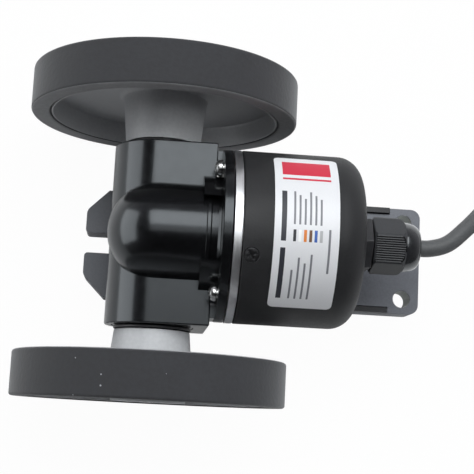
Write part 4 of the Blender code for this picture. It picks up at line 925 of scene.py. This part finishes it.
rare = reckoned(tree, "GREATER_THAN", chosen.outputs[0], SPECK_RARITY)
small = reckoned(tree, "LESS_THAN", dust.outputs["Distance"], SPECK_SIZE)
speck = reckoned(tree, "MULTIPLY", rare, small)
speck = reckoned(tree, "MULTIPLY", speck, SPECK_STRENGTH)
ground = shader.inputs["Base Color"].links[0].from_socket
dusted = blended(tree, speck, ground, SPECK_PALE)
tree.links.new(dusted, shader.inputs["Base Color"])
shader.inputs["Sheen Weight"].default_value = 0.35
shader.inputs["Sheen Roughness"].default_value = 0.45
left_tyre.data.materials.append(tyre_rubber)
# painted light: the housing-side face of the rubber gets a far paler colour, standing in for light falling on
# it
tyre_side_painted_light = grained(
    "tyre_side_painted_light", (0.320, 0.321, 0.327), (0.400, 0.401, 0.408), 0.0010, (0.70, 0.85), 0.00004, specular=0.30
)
left_tyre.data.materials.append(tyre_side_painted_light)
for polygon in left_tyre.data.polygons:
    polygon.material_index = 1 if polygon.normal.y < -0.8 else 0
right_tyre = copied(left_tyre, "right_tyre", other_end)
for piece, node in ((left_tyre, "tyre_left"), (right_tyre, "tyre_right")):
    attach(piece, "wheel_set")
    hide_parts(node)

# Screws: plated pan heads with a cross recess hold the wheels, the flange and the housing, and small
# countersunk ones hold the cover. Each kind is modelled once and set in its places.
RECESS_WIDTH = 0.24
RECESS_LENGTH = 1.30


def cross_screw(name, head, height, shank, length, countersunk=False):
    """A screw along +Z with its head's underside, or a countersunk head's top, at the origin."""
    if countersunk:
        profile = [(-length, 0), (-length, shank), (-height, shank), (0, head), (0, 0)]
        crown = 0.0
    else:
        profile = [(-length, 0), (-length, shank), (0, shank), (0, head), (height * 0.42, head)]
        profile += [(height * 0.72, head * 0.88), (height * 0.92, head * 0.62)]
        profile += [(height, head * 0.30), (height, 0)]
        crown = height
    piece = spun(name, profile, "Z", (0, 0, 0), 40)
    long_side, short_side = head * RECESS_LENGTH / 2, head * RECESS_WIDTH / 2
    depth = max(height * 0.55, head * 0.3)
    first_low, first_high = (-long_side, -short_side, crown - depth), (long_side, short_side, crown + BEYOND)
    second_low = (-short_side * 1.01, -long_side, crown - depth * 1.01)
    second_high = (short_side * 1.01, long_side, crown + BEYOND)
    shape_with(piece, [block("recess", first_low, first_high), block("recess", second_low, second_high)])
    soften_edges(piece, head * 0.03, 2, 50)
    finish_mesh(piece)
    return piece


def set_screw(pattern, name, spot, way, node, body, turn=0.4):
    """A copy of a screw with its head towards a direction."""
    stand = Vector(way).to_track_quat("Z", "Y").to_matrix().to_4x4() @ Matrix.Rotation(turn, 4, "Z")
    piece = copied(pattern, name, Matrix.Translation(spot) @ stand)
    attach(piece, body)
    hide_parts(node)


bright_plate = grained(
    "bright_plate", (0.62, 0.62, 0.61), (0.80, 0.80, 0.79), 0.0004, (0.14, 0.28), 0.000006, metallic=1.0
)
dark_plate = grained(
    "dark_plate", (0.10, 0.10, 0.105), (0.17, 0.17, 0.175), 0.0004, (0.28, 0.42), 0.000008, metallic=1.0
)
FLANGE_SCREW_SEAT = 0.0171
flange_screw = cross_screw("flange_screw_pattern", head=0.0024, height=0.0021, shank=0.0015, length=0.0088)
flange_screw.data.materials.append(bright_plate)
for number, angle in enumerate(FLANGE_ANGLES, 1):
    spot = on_shaft(FLANGE_SCREW_SEAT) + outwards(angle) * FLANGE_SCREW_CIRCLE
    fixing, node = f"flange_fixing_{number}", f"flange_screw_{number}"
    set_screw(flange_screw, fixing, spot, (-1, 0, 0), node, "frame", 0.3 * number)
cover_screw = cross_screw(
    "cover_screw_pattern", head=0.0020, height=0.0011, shank=0.0010, length=0.0048, countersunk=True
)
cover_screw.data.materials.append(dark_plate)
COVER_SCREW_X = 0.0254
COVER_SCREW_CROWN = 0.0250
COVER_SCREW_ANGLES = [math.radians(-19.7 + 120 * number) for number in range(3)]
for number, angle in enumerate(COVER_SCREW_ANGLES, 1):
    spot = on_shaft(COVER_SCREW_X) + outwards(angle) * COVER_SCREW_CROWN
    fixing, node = f"cover_fixing_{number}", f"cover_screw_{number}"
    set_screw(cover_screw, fixing, spot, outwards(angle), node, "frame", 0.5)
AXLE_SCREW_SEAT = 0.0464
axle_screw = cross_screw("axle_screw_pattern", head=0.0055, height=0.0021, shank=0.0015, length=0.0085)
axle_screw.data.materials.append(bright_plate)
for side, label in ((1, "left"), (-1, "right")):
    spot = AXLE + Vector((0, side * AXLE_SCREW_SEAT, 0))
    set_screw(axle_screw, f"{label}_axle_fixing", spot, (0, side, 0), f"axle_screw_{label}", "wheel_set")
BASE_SCREW_SEAT = 0.0029
base_screw = cross_screw("base_screw_pattern", head=0.0028, height=0.0022, shank=0.0015, length=0.0138)
base_screw.data.materials.append(bright_plate)
for number, (x, y) in enumerate(SCREW_WELLS, 1):
    fixing, node = f"base_fixing_{number}", f"base_screw_{number}"
    set_screw(base_screw, fixing, (x, y, BASE_SCREW_SEAT), (0, 0, -1), node, "frame", 0.7 * number)
for pattern in (flange_screw, cover_screw, axle_screw, base_screw):
    bpy.data.objects.remove(pattern, do_unlink=True)

# Encoder body: a turned aluminium ring between flange and cover. Only its bright edge shows, with fine
# turning marks round it; its spigot, floor and bearing register are inside.
REGISTER_START = 0.0193
REGISTER_RADIUS = 0.0092
RING_START = 0.0203
RING_END = 0.0225
RING_RADIUS = 0.0251
SPIGOT_RADIUS = 0.0229
SPIGOT_END = 0.0285
SEAL_GROOVE_START = 0.0267
SEAL_GROOVE_END = 0.0279
SEAL_GROOVE_RADIUS = 0.0220
BODY_CAVITY = 0.0183
BODY_FLOOR = 0.0245
SHAFT_WAY = 0.0036
BODY_EDGE = 0.00012
FLANGE_TAP = (0.0200, 0.0262)
COVER_TAP = (0.0198, 0.0260)
COVER_SHANK_HOLE = 0.00115
body_profile = stepped(
    SHAFT_WAY,
    REGISTER_START,
    (RING_START, REGISTER_RADIUS),
    (RING_END, RING_RADIUS),
    (SEAL_GROOVE_START, SPIGOT_RADIUS),
    (SEAL_GROOVE_END, SEAL_GROOVE_RADIUS),
    (SPIGOT_END, SPIGOT_RADIUS),
    (BODY_FLOOR, BODY_CAVITY),
)
body_ring = spun("body_ring", body_profile, "X", SHAFT, 160)
soften_edges(body_ring, BODY_EDGE, 2)
for angle in FLANGE_ANGLES:
    start, end = (on_shaft(reach) + outwards(angle) * FLANGE_SCREW_CIRCLE for reach in FLANGE_TAP)
    shape_with(body_ring, [bar("tap", SHANK_HOLE, start, end, 24)])
for angle in COVER_SCREW_ANGLES:
    start, end = (on_shaft(COVER_SCREW_X) + outwards(angle) * reach for reach in COVER_TAP)
    shape_with(body_ring, [bar("tap", COVER_SHANK_HOLE, start, end, 24)])
finish_mesh(body_ring)


def turned_metal(name, low, high, rough, along):
    """Turned metal: fine marks that run round the axis, and a slow drift of tone."""
    finish = grained(name, low, high, 0.0012, rough, 0.000002, 1.0)
    tree, shader, place = surface(finish)
    stretch = node_step(tree, "ShaderNodeMapping", {"Vector": place, "Scale": along})
    marks = noise(tree, stretch.outputs[0], 1.0, 3.0)
    tree.links.new(bumped(tree, marks, 0.000012), shader.inputs["Normal"])
    tree.links.new(ranged(tree, marks, 0.3, 0.7, *rough), shader.inputs["Roughness"])
    shader.inputs["Anisotropic"].default_value = 0.4
    return finish


turned_aluminium = turned_metal(
    "turned_aluminium", (0.90, 0.90, 0.91), (0.97, 0.97, 0.98), (0.30, 0.42), (9000, 60, 60)
)
body_ring.data.materials.append(turned_aluminium)
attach(body_ring, "frame")
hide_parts("encoder_body")

# Cover: a deep-drawn can with a soft black coat, a large fillet at its far end and a hole for the gland.
# Three small countersunk holes near its open edge take the cover screws.
COVER_START = 0.0228
COVER_END = 0.0575
COVER_RADIUS = 0.0251
COVER_BORE = 0.0232
COVER_FILLET = 0.0070
COVER_EDGE = 0.0003
INNER_END = 0.0552
INNER_FILLET = 0.0051
GLAND_HOLE = 0.0062
SINK_START = 0.0200
SINK_BOTTOM = 0.0239
SINK_TOP = 0.0254
SINK_RADIUS = 0.00252
quarter = math.pi / 2
cover_profile = [(COVER_START, COVER_BORE), (COVER_START, COVER_RADIUS - COVER_EDGE)]
cover_profile += [(COVER_START + COVER_EDGE, COVER_RADIUS)]
cover_profile += rounded(COVER_END - COVER_FILLET, COVER_RADIUS - COVER_FILLET, COVER_FILLET, quarter, 0, 14)
cover_profile += [(COVER_END, GLAND_HOLE), (INNER_END, GLAND_HOLE)]
cover_profile += rounded(INNER_END - INNER_FILLET, COVER_BORE - INNER_FILLET, INNER_FILLET, 0, quarter, 8)
cover_profile += [(COVER_START, COVER_BORE)]
cover = spun("encoder_cover", cover_profile, "X", SHAFT, 192)
sink_profile = [(SINK_START, 0), (SINK_START, COVER_SHANK_HOLE), (SINK_BOTTOM, COVER_SHANK_HOLE)]
sink_profile += [(SINK_TOP, SINK_RADIUS), (SINK_TOP, 0)]
for angle in COVER_SCREW_ANGLES:
    sink = spun("sink", sink_profile, "Z", (0, 0, 0), 40)
    turn = outwards(angle).to_track_quat("Z", "Y").to_matrix().to_4x4()
    sink.data.transform(Matrix.Translation(on_shaft(COVER_SCREW_X)) @ turn)
    shape_with(cover, [sink])
finish_mesh(cover)
soft_black = grained(
    "soft_black", (0.017, 0.017, 0.018), (0.024, 0.024, 0.0255), 0.0005, (0.46, 0.60), 0.00002, specular=0.35
)
cover.data.materials.append(soft_black)
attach(cover, "frame")
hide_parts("cover")

# Label plate: a satin silver foil with rounded corners, stuck round the cover. It carries only blank bars:
# a red band, two dark bars, and a block of small wire-colour patches with thin grey lines.
LABEL_START = 0.0310
LABEL_WIDTH = 0.0178
LABEL_HALF_ANGLE = math.radians(56.2)
LABEL_LOW = 0.02522
LABEL_THICKNESS = 0.00014
LABEL_CORNER = 0.0016
label_half = LABEL_HALF_ANGLE * COVER_RADIUS
clear_selection()
bpy.ops.mesh.primitive_plane_add(size=1.0)
label = settled("foil_label", (LABEL_WIDTH, 2 * label_half, 1))
bpy.ops.object.mode_set(mode="EDIT")
bpy.ops.mesh.select_all(action="SELECT")
bpy.ops.mesh.bevel(offset=LABEL_CORNER, segments=8, affect="VERTICES")
for number in range(1, 72):
    bpy.ops.mesh.select_all(action="SELECT")
    bpy.ops.mesh.bisect(plane_co=(0, label_half * (number / 36 - 1), 0), plane_no=(0, 1, 0))
bpy.ops.mesh.select_all(action="SELECT")
bpy.ops.mesh.extrude_region_move(TRANSFORM_OT_translate={"value": (0, 0, LABEL_THICKNESS)})
leave_edit()
print_map = label.data.uv_layers.active or label.data.uv_layers.new(name="label_print")
for loop in label.data.loops:
    flat = label.data.vertices[loop.vertex_index].co
    print_map.data[loop.index].uv = (flat.x / LABEL_WIDTH + 0.5, flat.y / (2 * label_half) + 0.5)
for vertex in label.data.vertices:
    angle = vertex.co.y / COVER_RADIUS
    radius = LABEL_LOW + vertex.co.z
    reach = LABEL_START + LABEL_WIDTH / 2 + vertex.co.x
    vertex.co = SHAFT + Vector((reach, radius * math.sin(angle), radius * math.cos(angle)))
finish_mesh(label, 40)
foil = bpy.data.materials.new("satin_foil")
foil.use_nodes = True
tree = foil.node_tree
shader = tree.nodes["Principled BSDF"]
print_place = node_step(tree, "ShaderNodeTexCoord").outputs["UV"]
flat_place = node_step(tree, "ShaderNodeSeparateXYZ", {"Vector": print_place})
across = reckoned(tree, "MULTIPLY", flat_place.outputs["X"], LABEL_WIDTH * 1000)
up = reckoned(tree, "MULTIPLY", flat_place.outputs["Y"], label_half * 2000)
brush_place = node_step(tree, "ShaderNodeMapping", {"Vector": print_place, "Scale": (40, 900, 1)})
brush = noise(tree, brush_place.outputs[0], 1.0, 2.0)
sheet = blended(tree, ranged(tree, brush, 0.3, 0.7), (0.74, 0.74, 0.755, 1), (0.83, 0.83, 0.845, 1))
PRINT_RED = (0.62, 0.022, 0.055)
PRINT_DARK = (0.035, 0.035, 0.045)
PRINT_GREY = (0.20, 0.20, 0.22)
# the bars, in millimetres across and up the flat foil
BAND = (2.2, 15.6)
EDGE_BAR = (1.9, 3.3)
LOWER_ROW = (3.6, 18.6)
UPPER_ROW = (20.4, 34.6)
LINES_FROM = 5.2
LINE_WIDTH = 0.55
PATCH_WIDTH = 0.8
PATCH_TOP = 23.6
UPPER_LINE_START = 25.0
bars = [(*BAND, 40.5, 46.6, PRINT_RED), (*BAND, 38.6, 39.3, PRINT_RED)]
bars += [(*EDGE_BAR, *LOWER_ROW, PRINT_DARK), (*EDGE_BAR, *UPPER_ROW, PRINT_DARK)]
wire_marks = [(0.03, 0.03, 0.035), (0.93, 0.93, 0.92), (0.75, 0.22, 0.03)]
wire_marks += [(0.16, 0.07, 0.03), (0.04, 0.12, 0.45), (0.45, 0.45, 0.46)]
for number, shade in enumerate(wire_marks):
    start = LINES_FROM + 1.45 * number
    line_end = UPPER_ROW[1] - 1.1 * (number % 3)
    bars.append((start, start + PATCH_WIDTH, UPPER_ROW[0], PATCH_TOP, shade))
    bars.append((start, start + LINE_WIDTH, UPPER_LINE_START, line_end, PRINT_GREY))
for number, reach in enumerate((9.0, 12.5, 11.0, 13.5)):
    start = LINES_FROM + 1.7 * number
    bars.append((start, start + LINE_WIDTH, LOWER_ROW[0], LOWER_ROW[0] + reach, PRINT_GREY))
bars.append((14.9, 15.5, 12.0, 24.0, PRINT_GREY))
for low_x, high_x, low_y, high_y, shade in bars:
    in_width = reckoned(tree, "COMPARE", across, (low_x + high_x) / 2, (high_x - low_x) / 2)
    in_height = reckoned(tree, "COMPARE", up, (low_y + high_y) / 2, (high_y - low_y) / 2)
    on_bar = reckoned(tree, "MULTIPLY", in_width, in_height)
    sheet = blended(tree, on_bar, sheet, (*shade, 1))
tree.links.new(sheet, shader.inputs["Base Color"])
tree.links.new(ranged(tree, brush, 0.0, 1.0, low=0.36, high=0.52), shader.inputs["Roughness"])
shader.inputs["Metallic"].default_value = 0.06
label.data.materials.append(foil)
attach(label, "frame")
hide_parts("label_plate")

# Gland body: a moulded black nylon fitting, screwed through the cover's end. Its hexagon shows between
# cover and nut, and the stems on both sides of it are covered.
HEX_START = 0.0578
HEX_END = 0.0618
HEX_FLATS = 0.0145
STEM_START = 0.0515
STEM_END = 0.0680
STEM_RADIUS = 0.0059
CABLE_WAY = 0.0031
BUSH_POCKET = 0.0047
BUSH_DEPTH = 0.0025
GLAND_EDGE = 0.0004


def hex_bar(name, flats, start, end, turn):
    """A six-sided bar along the encoder axis, turned by an angle from having a flat on top."""
    corner = flats / 2 / math.cos(math.pi / 6)
    clear_selection()
    bpy.ops.mesh.primitive_cylinder_add(
        vertices=6,
        radius=corner,
        depth=end - start,
        location=on_shaft((start + end) / 2),
        rotation=(0, math.pi / 2, 0),
    )
    piece = settled(name)
    highest = max(vertex.co.z for vertex in piece.data.vertices) - SHAFT.z
    whole = turn + (math.pi / 6 if highest > corner - NEAR else 0.0)
    turning = Matrix.Rotation(whole, 4, "X")
    piece.data.transform(Matrix.Translation(SHAFT) @ turning @ Matrix.Translation(-SHAFT))
    return piece


gland_hex = hex_bar("gland_fitting", HEX_FLATS, HEX_START, HEX_END, math.pi / 6)
soften_edges(gland_hex, GLAND_EDGE, 3)
shape_with(gland_hex, [bar("stem", STEM_RADIUS, on_shaft(STEM_START), on_shaft(STEM_END))], "UNION")
cable_way = bar("way", CABLE_WAY, on_shaft(STEM_START - BEYOND), on_shaft(STEM_END + BEYOND), 40)
bush_pocket = bar("pocket", BUSH_POCKET, on_shaft(STEM_END - BUSH_DEPTH), on_shaft(STEM_END + 2 * BEYOND), 44)
shape_with(gland_hex, [cable_way, bush_pocket])
finish_mesh(gland_hex)
gland_black = grained(
    "gland_black", (0.022, 0.022, 0.024), (0.034, 0.034, 0.037), 0.0006, (0.40, 0.55), 0.00003
)
gland_hex.data.materials.append(gland_black)
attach(gland_hex, "frame")
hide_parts("gland_body")

# Gland nut: black nylon. Every second flat has fine ribs along it for the fingers, the others are smooth,
# and a round polished dome closes over the seal to the cable. The ribs carry a painted highlight, and the
# ribbed flats under them painted shade.
NUT_START = 0.0621
NUT_END = 0.0716
NUT_FLATS = 0.01455
NUT_DOME_END = 0.0763
NUT_DOME_RADIUS = 0.0073
NUT_MOUTH = 0.0046
NUT_TURN = math.radians(14)
NUT_EDGE = 0.0005
NUT_DOME_LAP = 0.0006
NUT_BORE = 0.0060
NUT_BORE_END = 0.0712
NUT_CABLE_HOLE = 0.0028
BEFORE_NUT = 0.0615
PAST_NUT = 0.0770
RIB_COUNT = 12
RIB_SPREAD = 0.0073
RIB_RADIUS = 0.00020
RIB_RISE = 0.00012
RIB_INSET = 0.0005
RIB_END_GAP = 0.0004
RIB_END_BOW = 0.0011
RIB_EDGE = 0.0001
nut = hex_bar("gland_cap_nut", NUT_FLATS, NUT_START, NUT_END, NUT_TURN)
soften_edges(nut, NUT_EDGE, 3)
nut_foot = [(NUT_START, 0.0076), (NUT_START + 0.0010, 0.0086)]
nut_shoulder = [(NUT_END - 0.0024, 0.0086), (NUT_END - 0.0013, 0.0083)]
nut_shoulder += [(NUT_END - 0.0005, 0.0078), (NUT_END, 0.0072)]
nut_turning = [(NUT_START, 0)] + nut_foot + nut_shoulder + [(NUT_END, 0)]
shape_with(nut, [spun("nut_turning", nut_turning, "X", SHAFT, 96)], "INTERSECT")
nut_dome_profile = [(NUT_END - NUT_DOME_LAP, 0), (NUT_END - NUT_DOME_LAP, NUT_DOME_RADIUS)]
for number in range(13):
    angle = math.pi / 2 * number / 12
    swell = (NUT_DOME_RADIUS - NUT_MOUTH) * math.cos(angle)
    nut_dome_profile.append((NUT_END + (NUT_DOME_END - NUT_END) * math.sin(angle), NUT_MOUTH + swell))
nut_dome_profile.append((NUT_DOME_END, 0))
nut_hollow = stepped(0, BEFORE_NUT, (NUT_BORE_END, NUT_BORE), (PAST_NUT, NUT_CABLE_HOLE))
nut_dome = spun("nut_dome", nut_dome_profile, "X", SHAFT, 72)
shape_with(nut, [nut_dome], "UNION")
shape_with(nut, [spun("nut_hollow", nut_hollow, "X", SHAFT, 44)])
nut_black = grained(
    "nut_black", (0.038, 0.039, 0.042), (0.050, 0.051, 0.055), 0.0006, (0.40, 0.52), 0.00002, specular=0.20
)
# painted highlight: the ribs get a paler black than the rest of the nut
rib_painted_light = grained("rib_painted_light", (0.060, 0.061, 0.064), (0.080, 0.081, 0.085), 0.0006, (0.34, 0.46), 0.00001)
# painted shade: the ribbed flats between the ribs get a nearly black tone
rib_gap_painted_shade = grained(
    "rib_gap_painted_shade", (0.005, 0.005, 0.0055), (0.008, 0.008, 0.0085), 0.0006, (0.60, 0.75), 0.00001, specular=0.15
)
dome_black = lacquered("dome_black", (0.015, 0.015, 0.0165), (0.020, 0.020, 0.022), (0.20, 0.26), 0.0016)
dome_shader = dome_black.node_tree.nodes["Principled BSDF"]
dome_shader.inputs["Coat Weight"].default_value = 1.0
dome_shader.inputs["Coat Roughness"].default_value = 0.04
for finish in (nut_black, dome_black, rib_gap_painted_shade):
    nut.data.materials.append(finish)
ribbed_turns = [NUT_TURN + 2 * math.pi / 3 * face for face in range(3)]
for polygon in nut.data.polygons:
    past_hexagon = polygon.center.x > AXLE.x + NUT_END + NEAR / 2
    ribbed = any(polygon.normal.dot(outwards(-angle)) > 0.99 for angle in ribbed_turns)
    polygon.material_index = 1 if past_hexagon else 2 if ribbed else 0
rib_pieces = []
rib_start, rib_height = NUT_START + RIB_INSET, NUT_FLATS / 2 + RIB_RISE
for angle in ribbed_turns:
    turn = Matrix.Translation(SHAFT) @ Matrix.Rotation(angle, 4, "X")
    for number in range(RIB_COUNT):
        side = RIB_SPREAD * (number / (RIB_COUNT - 1) - 0.5)
        rib_stop = NUT_END - RIB_END_GAP - RIB_END_BOW * (2 * side / RIB_SPREAD) ** 2
        rib = bar("rib", RIB_RADIUS, (rib_start, side, rib_height), (rib_stop, side, rib_height), 12)
        soften_edges(rib, RIB_EDGE, 1)
        rib.data.transform(turn)
        rib.data.materials.append(rib_painted_light)
        rib_pieces.append(rib)
pick(nut, *rib_pieces)
bpy.ops.object.join()
finish_mesh(nut)
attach(nut, "frame")
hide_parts("gland_nut")

# Pieces inside: shafts, bearings, gears, code disc, circuit board and seals keep the frame's shapes,
# and get the finish of ground steel, brass, nylon, film, resist, rubber and insulated cores.
ground_steel = turned_metal(
    "ground_steel", (0.56, 0.56, 0.55), (0.68, 0.68, 0.67), (0.16, 0.30), (60, 9000, 60)
)
gear_brass = grained(
    "gear_brass", (0.62, 0.44, 0.17), (0.74, 0.55, 0.25), 0.0006, (0.24, 0.38), 0.00001, metallic=1.0
)
gear_nylon = grained("gear_nylon", (0.66, 0.65, 0.60), (0.76, 0.75, 0.70), 0.0009, (0.40, 0.55), 0.00002)
seal_rubber = grained(
    "seal_rubber", (0.012, 0.012, 0.012), (0.020, 0.020, 0.020), 0.0006, (0.65, 0.80), 0.00003
)
core_orange = grained("core_orange", (0.55, 0.20, 0.05), (0.72, 0.30, 0.10), 0.0006, (0.38, 0.52), 0.00002)
board_resist = grained(
    "board_resist", (0.012, 0.11, 0.045), (0.03, 0.20, 0.085), 0.0012, (0.30, 0.45), 0.00002
)
CODE_LINES = 100.0
disc_film = bpy.data.materials.new("disc_film")
tree, shader, place = surface(disc_film)
centred = node_step(tree, "ShaderNodeMapping", {"Vector": place, "Location": (0, 0, -SHAFT.z)})
parts = node_step(tree, "ShaderNodeSeparateXYZ", {"Vector": centred.outputs[0]})
turn = reckoned(tree, "ARCTAN2", parts.outputs["Y"], parts.outputs["Z"])
wave = reckoned(tree, "SINE", reckoned(tree, "MULTIPLY", turn, CODE_LINES))
film = blended(tree, reckoned(tree, "GREATER_THAN", wave, 0.0), (0.03, 0.03, 0.035, 1), (0.30, 0.30, 0.32, 1))
tree.links.new(film, shader.inputs["Base Color"])
shader.inputs["Roughness"].default_value = 0.2
inside = {
    "axle_gear": gear_brass,
    "encoder_gear": gear_nylon,
    "board_carrier": gear_nylon,
    "light_source": gear_nylon,
    "lead_header": gear_nylon,
    "light_detector": nylon_black,
    "gland_locknut": nylon_black,
    "gland_bush": seal_rubber,
    "cover_seal": seal_rubber,
    "inner_leads": core_orange,
    "circuit_board": board_resist,
    "code_disc": disc_film,
    "disc_hub": turned_aluminium,
    "cable_entry": jacket_grey,
}
for name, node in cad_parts.items():
    if node.hide_render:
        continue
    node.data.materials.clear()
    node.data.materials.append(inside.get(name, ground_steel))
